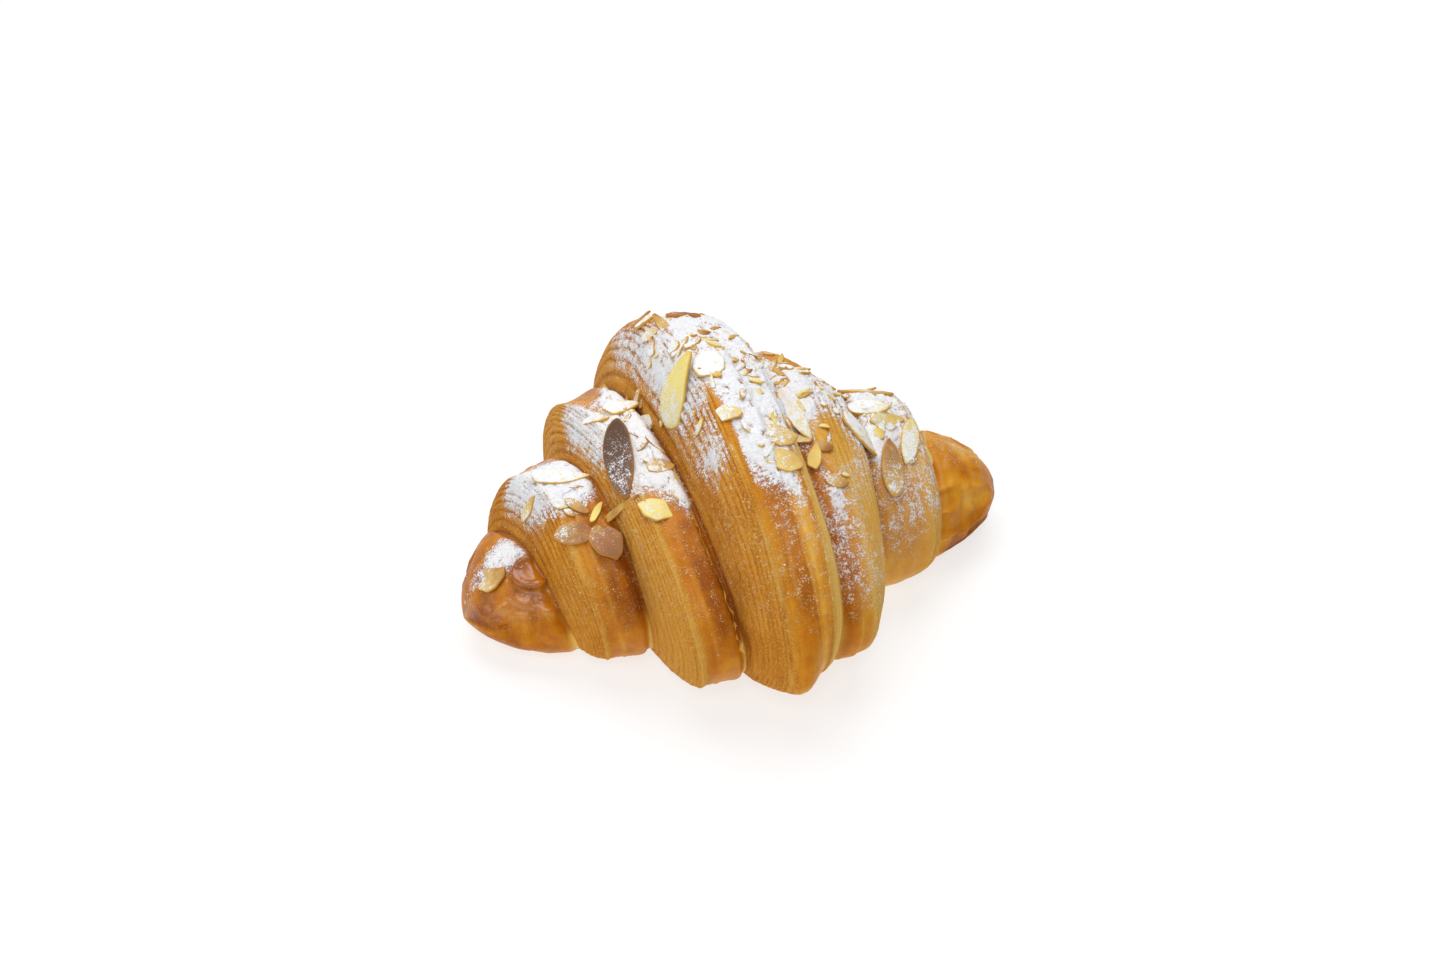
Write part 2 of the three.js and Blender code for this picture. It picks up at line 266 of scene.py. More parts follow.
# Heaps of sugar and bare spots: place along, degrees around, reach along, reach around in degrees
# and amount
SUGAR_HEAPS = (
    (1.5, 94, 10.0, 30, 1.0),
    (0.0, 63, 5.0, 10, 0.8),
    (-16.5, 94, 4.5, 22, 0.9),
    (-14.2, 68, 2.6, 9, 0.7),
    (-35.5, 93, 7.0, 17, 1.0),
    (19.0, 102, 9.0, 18, 1.0),
    (30.0, 70, 7.5, 15, 0.95),
    (31.5, 44, 4.5, 13, 0.6),
    (15.0, 54, 2.8, 7, 0.8),
    (13.2, 42, 2.5, 9, 0.5),
    (3.0, 46, 2.4, 10, 0.5),
    (-54.0, 96, 8.0, 19, 0.6),
)
BARE_SPOTS = (
    (18.7, 73, 4.5, 9, 0.95),
    (-46.0, 62, 4.0, 10, 0.8),
    (24.0, 40, 5.0, 12, 0.5),
    (-6.1, 63, 1.2, 18, 0.95),
)

# Lifted pastry edges: half, turn, angles from and to, and how many stand in the crease outside that edge
SHRED_LINES = (
    (0, 0, (2, 72), 5),
    (0, 0, (105, 160), 3),
    (1, 1, (110, 150), 2),
)
SHRED_LENGTH = 41
SHRED_ACROSS = 5
SHRED_OUTSIDE = 2.0
SHRED_SUNK = 0.35
SHRED_THICKNESS = 0.14

# The thick drift of sugar: from, to and points along and around, points underneath, and how deep it is sunk
DRIFT_PLACES = (-45.0, 48.0, 274)
DRIFT_ANGLES = (42.0, 138.0, 214)
DRIFT_UNDER = 10
DRIFT_DEPTH = 0.9

# A sugar grain is an octahedron
OCTAHEDRON = np.array([(1, 0, 0), (-1, 0, 0), (0, 1, 0), (0, -1, 0), (0, 0, 1), (0, 0, -1)], float)
OCTAHEDRON_FACES = np.array(
    [(0, 2, 4), (2, 1, 4), (1, 3, 4), (3, 0, 4), (2, 0, 5), (1, 2, 5), (3, 1, 5), (0, 3, 5)]
)

# Stage: the point that camera and lights face in millimetres, then the camera, the floor and the lights
AIM = (-3.05, 4.79, 28.65)
SENSOR_WIDTH = 36.0
CLIP_START = 0.01
FLOOR_HALF = 3.0
FLOOR_SHARE = 0.32
FLOOR_GLOW = 0.75
# A softbox's name, place and size in metres, and the setting that holds its power
SOFTBOXES = (
    ("softbox_top", (0.05, 0.25, 0.75), 0.7, "top_light"),
    ("softbox_left", (-0.6, -0.25, 0.5), 0.5, "side_light"),
    ("softbox_front", (-0.2, -0.5, 0.75), 0.16, "front_light"),
)

# A number that keeps a division or a root from failing
TINY = 1e-9

# Random lattice and seeds
LATTICE = 32
SEED = 7


# Curves and noise


def tint(red, green, blue):
    """A colour given as 0 to 255 display values, as the linear values that shaders use."""
    share = np.array([red, green, blue]) / 255.0
    low = share / 12.92
    high = ((share + 0.055) / 1.055) ** 2.4
    return tuple(float(v) for v in np.where(share <= 0.04045, low, high))


def ease(t):
    """A value that runs level out of 0 and into 1."""
    x = np.clip(t, 0.0, 1.0)
    return x * x * (3.0 - 2.0 * x)


def rising(value, start, over):
    """0 up to a start, and eased to 1 over a distance after it."""
    return ease((value - start) / over)


def falling(value, start, over):
    """0 from a start on, and eased to 1 over a distance before it."""
    return ease((start - value) / over)


def inside_span(value, span, over):
    """0 at both ends of a span, and eased to 1 over a distance from each."""
    return np.minimum(rising(value, span[0], over), falling(value, span[1], over))


def bell(x):
    """A smooth hump, 1 at 0 and nearly 0 past 2."""
    return np.exp(-x * x)


def hump(value, middle, reach):
    """A smooth hump, 1 at its middle and nearly 0 past two reaches from it."""
    return bell((value - middle) / reach)


def between(low, high, share):
    """A value at a share of the way from low to high."""
    return low + (high - low) * share


def unit(vectors):
    """Vectors scaled to a length of 1."""
    return vectors / np.maximum(np.linalg.norm(vectors, axis=-1, keepdims=True), TINY)


def value_noise(points, cell, seed):
    """Random numbers from 0 to 1 on a lattice of that cell size, blended between its corners with eased
    weights."""
    lattice = np.random.default_rng(seed).random((LATTICE,) * 3)
    scaled = np.asarray(points) / cell
    base = np.floor(scaled).astype(int)
    share = ease(scaled - base)
    total = np.zeros(scaled.shape[:-1])
    for corner in np.ndindex(2, 2, 2):
        weight = np.prod(np.where(corner, share, 1.0 - share), axis=-1)
        x, y, z = np.moveaxis((base + corner) % LATTICE, -1, 0)
        total += weight * lattice[x, y, z]
    return total


def layered_noise(points, cell, seed, octaves=3):
    """Value noise with finer and weaker octaves added, from 0 to 1."""
    total = 0.0
    weights = 0.0
    for octave in range(octaves):
        weight = 0.5**octave
        total = total + weight * value_noise(points, cell / 2.0**octave, seed + octave)
        weights += weight
    return total / weights


# The roll's bare form


def by_half(place, pair):
    """The left or the right value of a pair, by the side of each place."""
    return np.where(place < 0, pair[0], pair[1])


def by_turn(place, table, turn):
    """The value of one turn from a table of both halves."""
    return np.where(place < 0, table[0][turn], table[1][turn])


def layer_share(inside, riser):
    """Share of a turn's thickness at a distance inside its edge: a steep riser first, then a crown that
    levels off."""
    climb = 1.0 - (1.0 - np.clip(inside / riser, 0.0, 1.0)) ** CLIMB_POWER
    start = CROWN_START * riser
    return RISER_SHARE * climb + (1.0 - RISER_SHARE) * rising(inside, start, CROWN_LENGTH - start)


def section_size(place):
    """Half width and height of the roll: a blunt nose, plus each turn's thickness, less the groove
    outside it."""
    out = np.abs(place)
    full = 1.0 - (out / by_half(place, TIP)) ** by_half(place, BLUNT)
    nose = np.maximum(TINY, full) ** by_half(place, TAPER)
    width = by_half(place, KNOB_WIDTH) * nose
    height = by_half(place, KNOB_HEIGHT) * nose
    for turn in range(TURNS):
        edge = by_turn(place, EDGE, turn)
        share = layer_share(edge - out, by_turn(place, RISER, turn))
        groove = by_turn(place, GROOVE, turn) * bell((out - edge - GROOVE_OUTSIDE) / GROOVE_WIDTH)
        width = width + by_turn(place, LAYER_WIDTH, turn) * share - groove
        height = height + by_turn(place, LAYER_HEIGHT, turn) * share - groove
    return np.maximum(width, 0.0), np.maximum(height, 0.0)


def wound_out(place, degrees):
    """Distance along the roll after winding: each edge drifts outwards with the angle, and runs back under
    the base."""
    out = np.abs(place)
    back = (UNDER_START - degrees) / UNDER_SPAN * ((FULL_TURN - UNDER_SPAN) / FULL_TURN)
    turns = np.where(degrees >= UNDER_START, degrees / FULL_TURN, UNDER_START / FULL_TURN + back)
    start, start_wound = 0.0, 0.0
    along = np.zeros(np.broadcast(place, degrees).shape)
    for turn in range(TURNS + 1):
        last = turn == TURNS
        stop = by_half(place, TIP) if last else by_turn(place, EDGE, turn)
        stop_wound = stop if last else stop + by_turn(place, WINDING, turn) * turns
        wound = start_wound + (out - start) * (stop_wound - start_wound) / (stop - start)
        along = np.where(out >= start, wound, along)
        start, start_wound = stop, stop_wound
    return along


def swelling_rise(place, degrees):
    """Height of the swellings and dents: round humps at named places."""
    rise = 0.0
    for along, around, spread_out, height in SWELLINGS:
        round_way = np.radians(degrees - around) * SWELLING_RADIUS / spread_out
        rise = rise + height * hump(place, along, spread_out) * bell(round_way)
    return rise


def crust_points(place, degrees):
    """Points of the bare roll, in its own millimetres: a flattened oval section with lumps and swellings,
    wound along the roll, with a lip at the front and lifted tips."""
    place, degrees = np.broadcast_arrays(np.asarray(place, float), np.asarray(degrees, float))
    angle = np.radians(degrees)
    along = np.where(place < 0, -1.0, 1.0) * wound_out(place, degrees)
    width, height = section_size(place)
    lumps = sum(weight * np.sin(rate * along + lobes * angle + phase) for weight, rate, lobes, phase in LUMPS)
    grow = 1.0 + LUMP_SHARE * lumps
    bump = swelling_rise(place, degrees)
    width = width * grow + bump
    height = height * grow + bump
    cosine, sine = np.cos(angle), np.sin(angle)
    upper = 2.0 / np.where(cosine >= 0, FRONT_ROUNDNESS, BACK_ROUNDNESS)
    power = np.where(sine >= 0, upper, 2.0 / UNDER_ROUNDNESS)
    rise = np.abs(sine) ** power
    across = np.sign(cosine) * np.abs(cosine) ** power
    end = np.minimum(1.0, np.abs(along) / by_half(place, TIP))
    lip = LIP_REACH * hump(along, LIP_ALONG, LIP_HALF_LENGTH) * hump(degrees, LIP_AROUND, LIP_HALF_ANGLE)
    waist = WAIST_SHARE * height
    y = -width * across - lip - TIP_FORWARD * end**2
    z = np.where(sine >= 0, waist + (height - waist) * rise, waist * (1.0 - UNDER_DEPTH * rise))
    return np.stack([along, y, z + TIP_LIFT * end**8], axis=-1)


def crust_frames(place, degrees):
    """Point, direction along, direction up and normal of the bare roll, from differences across a few
    millimetres."""
    ahead = crust_points(place + FRAME_STEP, degrees) - crust_points(place - FRAME_STEP, degrees)
    upward = crust_points(place, degrees + FRAME_ANGLE) - crust_points(place, degrees - FRAME_ANGLE)
    normal = unit(np.cross(ahead, upward))
    ahead = unit(ahead)
    return crust_points(place, degrees), ahead, np.cross(normal, ahead), normal


def half_places(half):
    """Distances out from the middle for one half's rings: even crowns, close rings on risers, and a knob."""
    places = []
    inner = 0.0
    for turn in range(TURNS):
        edge = EDGE[half][turn]
        shoulder = edge - RISER[half][turn]
        places.append(np.linspace(inner, shoulder, CROWN_RINGS, endpoint=False))
        places.append(np.linspace(shoulder, edge, RISER_RINGS, endpoint=False))
        inner = edge
    share = np.linspace(0.0, 1.0, KNOB_RINGS, endpoint=False)
    places.append(inner + (TIP[half] - inner) * np.sin(share * math.pi / 2))
    return np.concatenate(places)


def ring_places():
    """Places of all rings from the left tip to the right one."""
    return np.concatenate([-half_places(0)[:0:-1], half_places(1)])


def ring_angles():
    """Angles of a ring: close over the crust that shows, wider apart under the base."""
    shown = np.linspace(-BASE_ANGLE, 180 + BASE_ANGLE, SHOWN_ANGLES, endpoint=False)
    under = np.linspace(180 + BASE_ANGLE, FULL_TURN - BASE_ANGLE, UNDER_ANGLES, endpoint=False)
    wraps = under > FULL_TURN + UNDER_START - UNDER_SPAN
    return np.concatenate([shown, np.where(wraps, under - FULL_TURN, under)])


def ring_normals(points):
    """Outward normals of a grid of rings: along the roll crossed with round the roll."""
    around = np.roll(points, -1, axis=1) - np.roll(points, 1, axis=1)
    return unit(np.cross(np.gradient(points, axis=0), around))


def roll_shift():
    """How far the roll's own middle lies from the frame's origin, so that its box sits where the CAD
    node's does."""
    bare = crust_points(ring_places()[:, None], ring_angles()[None, :]).reshape(-1, 3)
    low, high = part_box(NODE)
    target = (np.array(low) + np.array(high)) / 2 / MM
    middle = (bare.min(axis=0) + bare.max(axis=0)) / 2
    return np.array([target[0] - middle[0], target[1] - middle[1], 0.0])


SHIFT = roll_shift()


# What lies where on the crust


def turn_fields(place):
    """Where a point lies on its turn: millimetres inside the shoulder, laminae counted up from the edge,
    millimetres outside the next edge inwards, and a number for the turn itself."""
    out = np.abs(place)
    shoulder = np.full(out.shape, FAR)
    outside = out - by_turn(place, EDGE, TURNS - 1)
    lamina = outside / LAMINA_SPACING
    number = np.full(out.shape, float(TURNS))
    for turn in reversed(range(TURNS)):
        inside = by_turn(place, EDGE, turn) - out
        riser = by_turn(place, RISER, turn)
        own = inside > 0
        climbed = np.minimum(inside / riser, 1.0) * by_turn(place, LAMINAE, turn)
        lamina = np.where(own, climbed + np.maximum(inside - riser, 0.0) / LAMINA_SPACING, lamina)
        shoulder = np.where(own, inside - riser, shoulder)
        number = np.where(own, float(turn), number)
        beyond = out - by_turn(place, EDGE, turn - 1) if turn else FAR
        outside = np.where(own, beyond, outside)
    return shoulder, lamina, outside, number + by_half(place, (0.0, RIGHT_NUMBER))


def high_angle(degrees):
    """Degrees up from the table, the same in front and behind."""
    return np.where(degrees > 90, 180 - degrees, degrees)


def edge_gap(place):
    """Distance along the roll to the nearest turn's edge."""
    gaps = [np.abs(np.abs(place) - by_turn(place, EDGE, turn)) for turn in range(TURNS)]
    return np.minimum.reduce(gaps)


def heaped(place, high, heaps):
    """Sum of soft oval patches: the amount of each times a hump along and a hump around."""
    total = 0.0
    for along, around, reach, turn, amount in heaps:
        total = total + amount * hump(place, along, reach) * hump(high, around, turn)
    return total


def sugar_density(points, degrees, place, laid_open, ridge):
    """How thickly sugar lies, from 0 to 1: a thin layer on what faces up, heaps in named places, on the
    ridges rather than in the grooves of cut faces, and little on the knobs and on a few bare spots."""
    middle = SUGAR_MIDDLE + 9.0 * rising(-place, 6, 6) * laid_open
    high = np.where(degrees > middle, 2 * middle - degrees, degrees)
    out = np.abs(place)
    patches = layered_noise(points, 12.0, SEED + 40, 4)
    crumbs = layered_noise(points, 4.5, SEED + 44, 3)
    start = SUGAR_START + 8.0 * rising(-place, 10, 12) * (1.0 - laid_open)
    thin = SUGAR_THIN * rising(high + 50.0 * (patches - 0.5), start, 40.0)
    heaps = np.minimum(heaped(place, high, SUGAR_HEAPS), 1.0) * (0.2 + 0.8 * patches + 0.9 * crumbs)
    heaps = heaps * (1.0 - 0.6 * laid_open)
    sprinkled = 0.26 + 0.20 * rising(place, 6, 8) + 0.10 * bell(place / 8)
    speckle = sprinkled * ease((high + 26.0 + 40.0 * (patches - 0.5)) / 62.0)
    knob = by_half(place, (rising(out, 44, 6), rising(out, 46, 7)))
    shaken_off = laid_open * (0.60 - 0.60 * ridge * rising(high, 20, 40))
    near_edge = 0.8 * bell(edge_gap(place) / 1.5)
    density = (thin * (1.0 - 0.55 * knob) + heaps) * (1.0 - shaken_off) * (1.0 - near_edge)
    density = np.maximum(density, speckle * (1.0 - by_half(place, (0.3, 0.65)) * knob))
    return np.clip(density * (1.0 - np.clip(heaped(place, high, BARE_SPOTS), 0.0, 1.0)), 0.0, 1.0)


def browning(points, degrees, place, shoulder):
    """How dark the crust baked, from 0 to 1: dark on the crowns' faces, paler low down, at shoulders and on
    the right, with a golden spot, a dark line beside the middle turn's edge and mottled knobs."""
    height = points[..., 2]
    crowns = 0.28 * rising(shoulder, 1.5, 4.5) - 0.05
    golden_spot = hump(place, 18.7, 5.0) * hump(degrees, 74, 13)
    left_crowns = rising(-place, 14.0, 4.0) * falling(-place, 50.0, 6.0)
    left_knob = rising(-place, 46.0, 4.0)
    right_knob = rising(place, 50.0, 6.0)
    beside = EDGE[1][0] - place
    dark = 0.56 + 0.40 * (layered_noise(points, 15.0, SEED + 60) - 0.5)
    dark += crowns * rising(degrees, -5, 25)
    dark -= 0.3 * golden_spot
    dark -= 0.24 * falling(height, 9.0, 8.0)
    dark -= 0.21 * rising(place, 10.0, 18.0)
    dark -= 0.06 * (shoulder == FAR)
    dark += 0.12 * left_knob * falling(degrees, 38.0, 20.0)
    dark += 0.5 * hump(beside, 5.4, 0.45) - 0.2 * hump(beside, 7.6, 1.5)
    dark += left_crowns * (0.10 - 0.16 * rising(degrees, 36.0, 16.0)) - 0.06 * bell(place / 8.0)
    dark += left_knob * 0.7 * (layered_noise(points, 7.0, SEED + 66) - 0.5)
    mottling = 0.9 * (layered_noise(points, 9.0, SEED + 64) - 0.5)
    dark += right_knob * (mottling + 0.75 * falling(height, 17.0, 9.0))
    return np.clip(dark, 0.0, 1.0)


def paleness(place, degrees, number, laid_open, outside):
    """Where pale dough shows, from 0 to 1: a strip along the middle turn's right edge, cut sides, most of all
    the broad riser after that edge, and crumb low down in the creases."""
    inside = EDGE[1][0] - place
    strip = 0.9 * hump(inside, 3.9, 0.9) * (number == RIGHT_NUMBER)
    cut_sides = laid_open * sum(amount * (number == turn) for turn, amount in PALE_CUTS)
    broad = cut_sides + 0.2 * (number == RIGHT_NUMBER + 2)
    broad = broad * (0.2 + 0.8 * falling(degrees, 82, 30))
    crumb = 0.75 * bell(outside / 1.3) * falling(high_angle(degrees), 18, 24)
    return np.clip(strip + broad + crumb, 0.0, 1.0)


def fold_rise(place, degrees):
    """Height of the knob's folds: humps or grooves across straight lines between two places, fading at
    their ends."""
    rise = 0.0
    scale = math.radians(1.0) * SWELLING_RADIUS
    for start, stop, height, width in KNOB_FOLDS:
        along, around = place - start[0], (degrees - start[1]) * scale
        line_along, line_around = stop[0] - start[0], (stop[1] - start[1]) * scale
        length_squared = line_along**2 + line_around**2
        share = np.clip((along * line_along + around * line_around) / length_squared, 0.0, 1.0)
        reach = np.hypot(along - share * line_along, around - share * line_around)
        rise = rise + height * np.sin(np.pi * (0.1 + 0.8 * share)) * bell(reach / width)
    return rise


def knob_relief(points, place, degrees):
    """Relief of the knobs: on the left a raised ring round a dimple and straight folds, on both thin wrinkles
    where ridged noise peaks."""
    along, around, radius = KNOB_BUTTON
    out = np.abs(place)
    reach = np.hypot(place - along, np.radians(degrees - around) * SWELLING_RADIUS)
    button = 1.6 * hump(reach, radius, 0.9) - 0.5 * bell(reach / 1.8)
    button = button - 0.8 * bell((reach - radius - 2.0) / 0.9)
    folds = (button + fold_rise(place, degrees)) * rising(-place, EDGE[0][TURNS - 1], 2.0)
    stretched = points * np.array([1.0, 1.0, 1.7])
    ridged = 1.0 - np.abs(2.0 * layered_noise(stretched, 9.0, SEED + 50, 2) - 1.0)
    upper = by_half(place, (46.0, 170.0))
    wrinkle = rising(ridged, 0.84, 0.14) * falling(degrees, upper, 20.0) * rising(degrees, -30.0, 30.0)
    ends = rising(out, 46.0, 5.0) * falling(out, by_half(place, TIP) - 3.0, 4.0)
    return folds + ends * (0.7 * wrinkle - 0.7 * falling(ridged, 0.5, 0.2))


def drawn_out(line, degrees, number, scales):
    """Coordinates for noise that is drawn out along the laminae, and different on each turn."""
    along, around, apart = scales
    return np.stack([line * along, degrees / around, number * apart], axis=-1)


# Settings


def length_property(label, words, value):
    """A length in metres that a user can change."""
    return FloatProperty(name=label, description=words, default=value, unit="LENGTH")


def power_property(label, words, value):
    """A light's power that a user can change."""
    return FloatProperty(name=label, description=words, default=value, unit="POWER")


def angle_property(label, words, degrees):
    """An angle that a user can change."""
    return FloatProperty(name=label, description=words, default=math.radians(degrees), subtype="ANGLE")


def colour_property(label, words, value):
    """A colour that a user can change."""
    return FloatVectorProperty(
        name=label, description=words, subtype="COLOR", size=3, min=0.0, max=1.0, default=value
    )


class CroissantSizes(PropertyGroup):
    """Sizes of the crust's fine relief, the flakes and the sugar."""

    lamina_depth: length_property("Lamina depth", "Height of the ridges on a turn's cut side", 0.00038)
    sheet_lip: length_property("Sheet lip", "How far a turn's top sheet stands up at its edge", 0.00035)
    sugar_depth: length_property("Sugar depth", "About how deep sugar lies in a heap", 0.0005)
    flake_thickness: length_property("Flake thickness", "Thickness of an almond flake", 0.00075)
    shred_lift: length_property("Shred lift", "How far loose pastry edges lift off the crust", 0.0011)
    grain_size: length_property("Grain size", "Radius of the largest single sugar grains", 0.00017)
    grain_count: IntProperty(name="Grains", description="How many loose grains there are", default=9000)


class CroissantColours(PropertyGroup):
    """Colours of the crust, the almonds and the sugar."""

    crust_pale: colour_property("Pale crust", "Least baked crust", tint(230, 180, 80))
    crust_golden: colour_property("Golden crust", "Lightly baked crust", tint(218, 150, 34))
    crust_amber: colour_property("Amber crust", "Well baked crust", tint(194, 116, 8))
    # The darkest crust colour also serves as the painted shade in creases and lamina grooves
    crust_dark: colour_property("Dark crust", "Darkest baked crust", tint(146, 75, 4))
    lamina_light: colour_property("Lamina ridge", "Ridges of the cut layers", tint(222, 156, 60))
    lamina_dark: colour_property("Lamina groove", "Grooves between the cut layers", tint(164, 92, 18))
    sheet_edge: colour_property("Sheet edge", "Pale edge of a turn's top sheet", tint(240, 200, 100))
    almond_pale: colour_property("Pale almond", "Flesh of an almond flake", tint(242, 222, 130))
    almond_tan: colour_property("Tan almond", "Flesh of a lightly toasted flake", tint(222, 184, 100))
    almond_rim: colour_property("Almond rim", "Rim of an almond flake", tint(200, 138, 50))
    almond_toasted: colour_property("Toasted almond", "Flesh of a toasted flake", tint(164, 110, 64))
    almond_dark: colour_property("Dark almond", "Flesh of the darkest flake", tint(92, 66, 50))
    sugar_white: colour_property("Icing sugar", "Sugar where it lies thick", tint(241, 243, 247))
    # Colour of the painted shade in the sugar's hollows
    sugar_painted_shade: colour_property("Sugar hollows", "Hollows in sugar on the crust", tint(222, 222, 224))
    sugar_warm: colour_property("Warm grains", "Darker patches of loose grains", tint(222, 214, 202))
    sugar_thin: colour_property("Thin sugar", "Grains that the crust shines through", tint(240, 206, 150))


class CroissantStudio(PropertyGroup):
    """The stage, its light and its camera."""

    floor_tint: colour_property("Floor", "The pale floor", tint(250, 250, 250))
    floor_shade: colour_property("Floor patches", "Faint patches on the floor", tint(154, 154, 154))
    sky_light: FloatProperty(name="Sky light", description="Strength of the even light", default=0.30)
    top_light: power_property("Top light", "Power of the softbox overhead", 4.9)
    front_light: power_property("Front light", "Power of the small softbox in front", 1.2)
    side_light: power_property("Side light", "Power of the softbox at the left", 1.4)
    azimuth: angle_property("Azimuth", "Camera's angle round the croissant", -20.5)
    elevation: angle_property("Elevation", "Camera's angle above the table", 40)
    distance: length_property("Distance", "From the camera to the point it looks at", 0.45)
    lens: FloatProperty(name="Lens", description="Focal length in millimetres", default=44.9)


# Mesh makers


def grid_faces(rows, columns):
    """Quads of a grid of points, row by row, whose last column joins up with its first."""
    row = np.arange(rows - 1)[:, None] * columns
    column = np.arange(columns)[None, :]
    after = (column + 1) % columns
    quads = np.stack([row + column, row + columns + column, row + columns + after, row + after], axis=-1)
    return quads.reshape(-1, 4)


def tube_faces(rings, sides):
    """Quads of a tube of rings, and the triangles of the fans that close its first and last ring."""
    inner = np.arange(1, sides - 1)
    first = np.stack([np.zeros_like(inner), inner, inner + 1], axis=-1)
    last = (rings - 1) * sides + first[:, ::-1]
    return grid_faces(rings, sides), np.concatenate([first, last])


def many_tubes(count, rings, sides):
    """Quads and triangles of several closed tubes, with each tube's points after the last one's."""
    step = np.arange(count)[:, None, None] * rings * sides
    return tuple(faces[None] + step for faces in tube_faces(rings, sides))


def new_piece(name, points, quads, triangles, material, fields):
    """A smooth-shaded mesh object from arrays in the roll's own millimetres, set in the frame's metres, with
    one point attribute for each field."""
    mesh = bpy.data.meshes.new(name)
    points = ((points + SHIFT) * MM).reshape(-1, 3)
    quads = np.asarray(quads, int).reshape(-1, 4)
    triangles = np.asarray(triangles, int).reshape(-1, 3)
    corners = np.concatenate([quads.ravel(), triangles.ravel()])
    starts = np.concatenate([np.arange(len(quads)) * 4, quads.size + np.arange(len(triangles)) * 3])
    mesh.vertices.add(len(points))
    mesh.vertices.foreach_set("co", points.astype(np.float32).ravel())
    mesh.loops.add(len(corners))
    mesh.loops.foreach_set("vertex_index", corners.astype(np.int32))
    mesh.polygons.add(len(starts))
    mesh.polygons.foreach_set("loop_start", starts.astype(np.int32))
    mesh.polygons.foreach_set("use_smooth", np.ones(len(starts), bool))
    for field, values in fields.items():
        attribute = mesh.attributes.new(field, "FLOAT", "POINT")
        filled = np.broadcast_to(np.asarray(values, np.float32).ravel(), len(points))
        attribute.data.foreach_set("value", np.ascontiguousarray(filled))
    mesh.update(calc_edges=True)
    if mesh.validate():
        raise RuntimeError(f"{name} has faulty faces")
    mesh.materials.append(material)
    piece = bpy.data.objects.new(name, mesh)
    bpy.context.scene.collection.objects.link(piece)
    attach(piece, BODY)
    return piece


# Node makers


def add_node(tree, kind, **settings):
    """A node with its settings."""
    node = tree.nodes.new(kind)
    for name, value in settings.items():
        setattr(node, name, value)
    return node


def feed(tree, socket, value):
    """Sets an input to a value, or links it to another node's output."""
    if isinstance(value, bpy.types.NodeSocket):
        tree.links.new(value, socket)
    else:
        socket.default_value = value


def settle(shader, values):
    """Sets the shader's inputs that are the same all over the surface."""
    for name, value in values.items():
        shader.inputs[name].default_value = value


def maths(tree, operation, first, second=0.0, third=0.0, clamp=False):
    """The result of a Math node."""
    node = add_node(tree, "ShaderNodeMath", operation=operation, use_clamp=clamp)
    for socket, value in zip(node.inputs, (first, second, third)):
        feed(tree, socket, value)
    return node.outputs[0]


def times(tree, first, second):
    """Two values multiplied."""
    return maths(tree, "MULTIPLY", first, second)


def larger(tree, first, second):
    """The larger of two values."""
    return maths(tree, "MAXIMUM", first, second)


def plus(tree, base, value, weight):
    """A base with a weighted value added to it."""
    return maths(tree, "MULTIPLY_ADD", value, weight, base)


def swayed(tree, base, value, weight):
    """A base moved up or down by how far a value lies from a half, weighted."""
    return plus(tree, base, maths(tree, "SUBTRACT", value, 0.5), weight)


def blend_colours(tree, share, first, second):
    """A colour between two, by a share."""
    node = add_node(tree, "ShaderNodeMix", data_type="RGBA", clamp_factor=True)
    feed(tree, node.inputs[0], share)
    for socket, value in zip((node.inputs[6], node.inputs[7]), (first, second)):
        feed(tree, socket, value if isinstance(value, bpy.types.NodeSocket) else (*value, 1.0))
    return node.outputs[2]


def smooth_range(tree, value, low, high):
    """A value eased from 0 at low to 1 at high."""
    node = add_node(tree, "ShaderNodeMapRange", interpolation_type="SMOOTHSTEP", clamp=True)
    for socket, number in zip(node.inputs, (value, low, high, 0.0, 1.0)):
        feed(tree, socket, number)
    return node.outputs[0]


def noise(tree, vector, scale, detail=3.0, roughness=0.55):
    """A noise texture's value on a vector."""
    node = add_node(tree, "ShaderNodeTexNoise")
    feed(tree, node.inputs["Vector"], vector)
    settle(node, {"Scale": scale, "Detail": detail, "Roughness": roughness})
    return node.outputs["Fac"]


def colour_ramp(tree, value, stops):
    """A colour read off a ramp of (place, colour) stops."""
    node = add_node(tree, "ShaderNodeValToRGB")
    elements = node.color_ramp.elements
    while len(elements) < len(stops):
        elements.new(0.5)
    for element, (place, colour) in zip(elements, stops):
        element.position = place
        element.color = (*colour, 1.0)
    feed(tree, node.inputs[0], value)
    return node.outputs["Color"]


def field_value(tree, name):
    """A point attribute of the piece."""
    return add_node(tree, "ShaderNodeAttribute", attribute_name=name).outputs["Fac"]


def new_group(name, inputs, outputs):
    """An empty shader node group with float or vector inputs and float outputs, and its two end nodes."""
    group = bpy.data.node_groups.new(name, "ShaderNodeTree")
    for label, kind in inputs:
        group.interface.new_socket(name=label, in_out="INPUT", socket_type=kind)
    for label in outputs:
        group.interface.new_socket(name=label, in_out="OUTPUT", socket_type="NodeSocketFloat")
    return group, group.nodes.new("NodeGroupInput"), group.nodes.new("NodeGroupOutput")


def use_group(tree, group, **values):
    """The outputs of a placed node group with its inputs fed."""
    node = add_node(tree, "ShaderNodeGroup", node_tree=group)
    for name, value in values.items():
        feed(tree, node.inputs[name], value)
    return node.outputs


def grain_layer(tree, vector, chance, scale, smallest, growth):
    """Round grains in random cells: a cell holds one when its random number is below the chance."""
    cells = add_node(tree, "ShaderNodeTexVoronoi", feature="F1")
    feed(tree, cells.inputs["Vector"], vector)
    cells.inputs["Scale"].default_value = scale
    numbers = add_node(tree, "ShaderNodeSeparateColor")
    feed(tree, numbers.inputs[0], cells.outputs["Color"])
    present = maths(tree, "LESS_THAN", numbers.outputs[0], chance)
    size = plus(tree, smallest, numbers.outputs[1], growth)
    dot = smooth_range(tree, maths(tree, "SUBTRACT", cells.outputs["Distance"], size), 0.06, -0.06)
    return times(tree, present, dot)


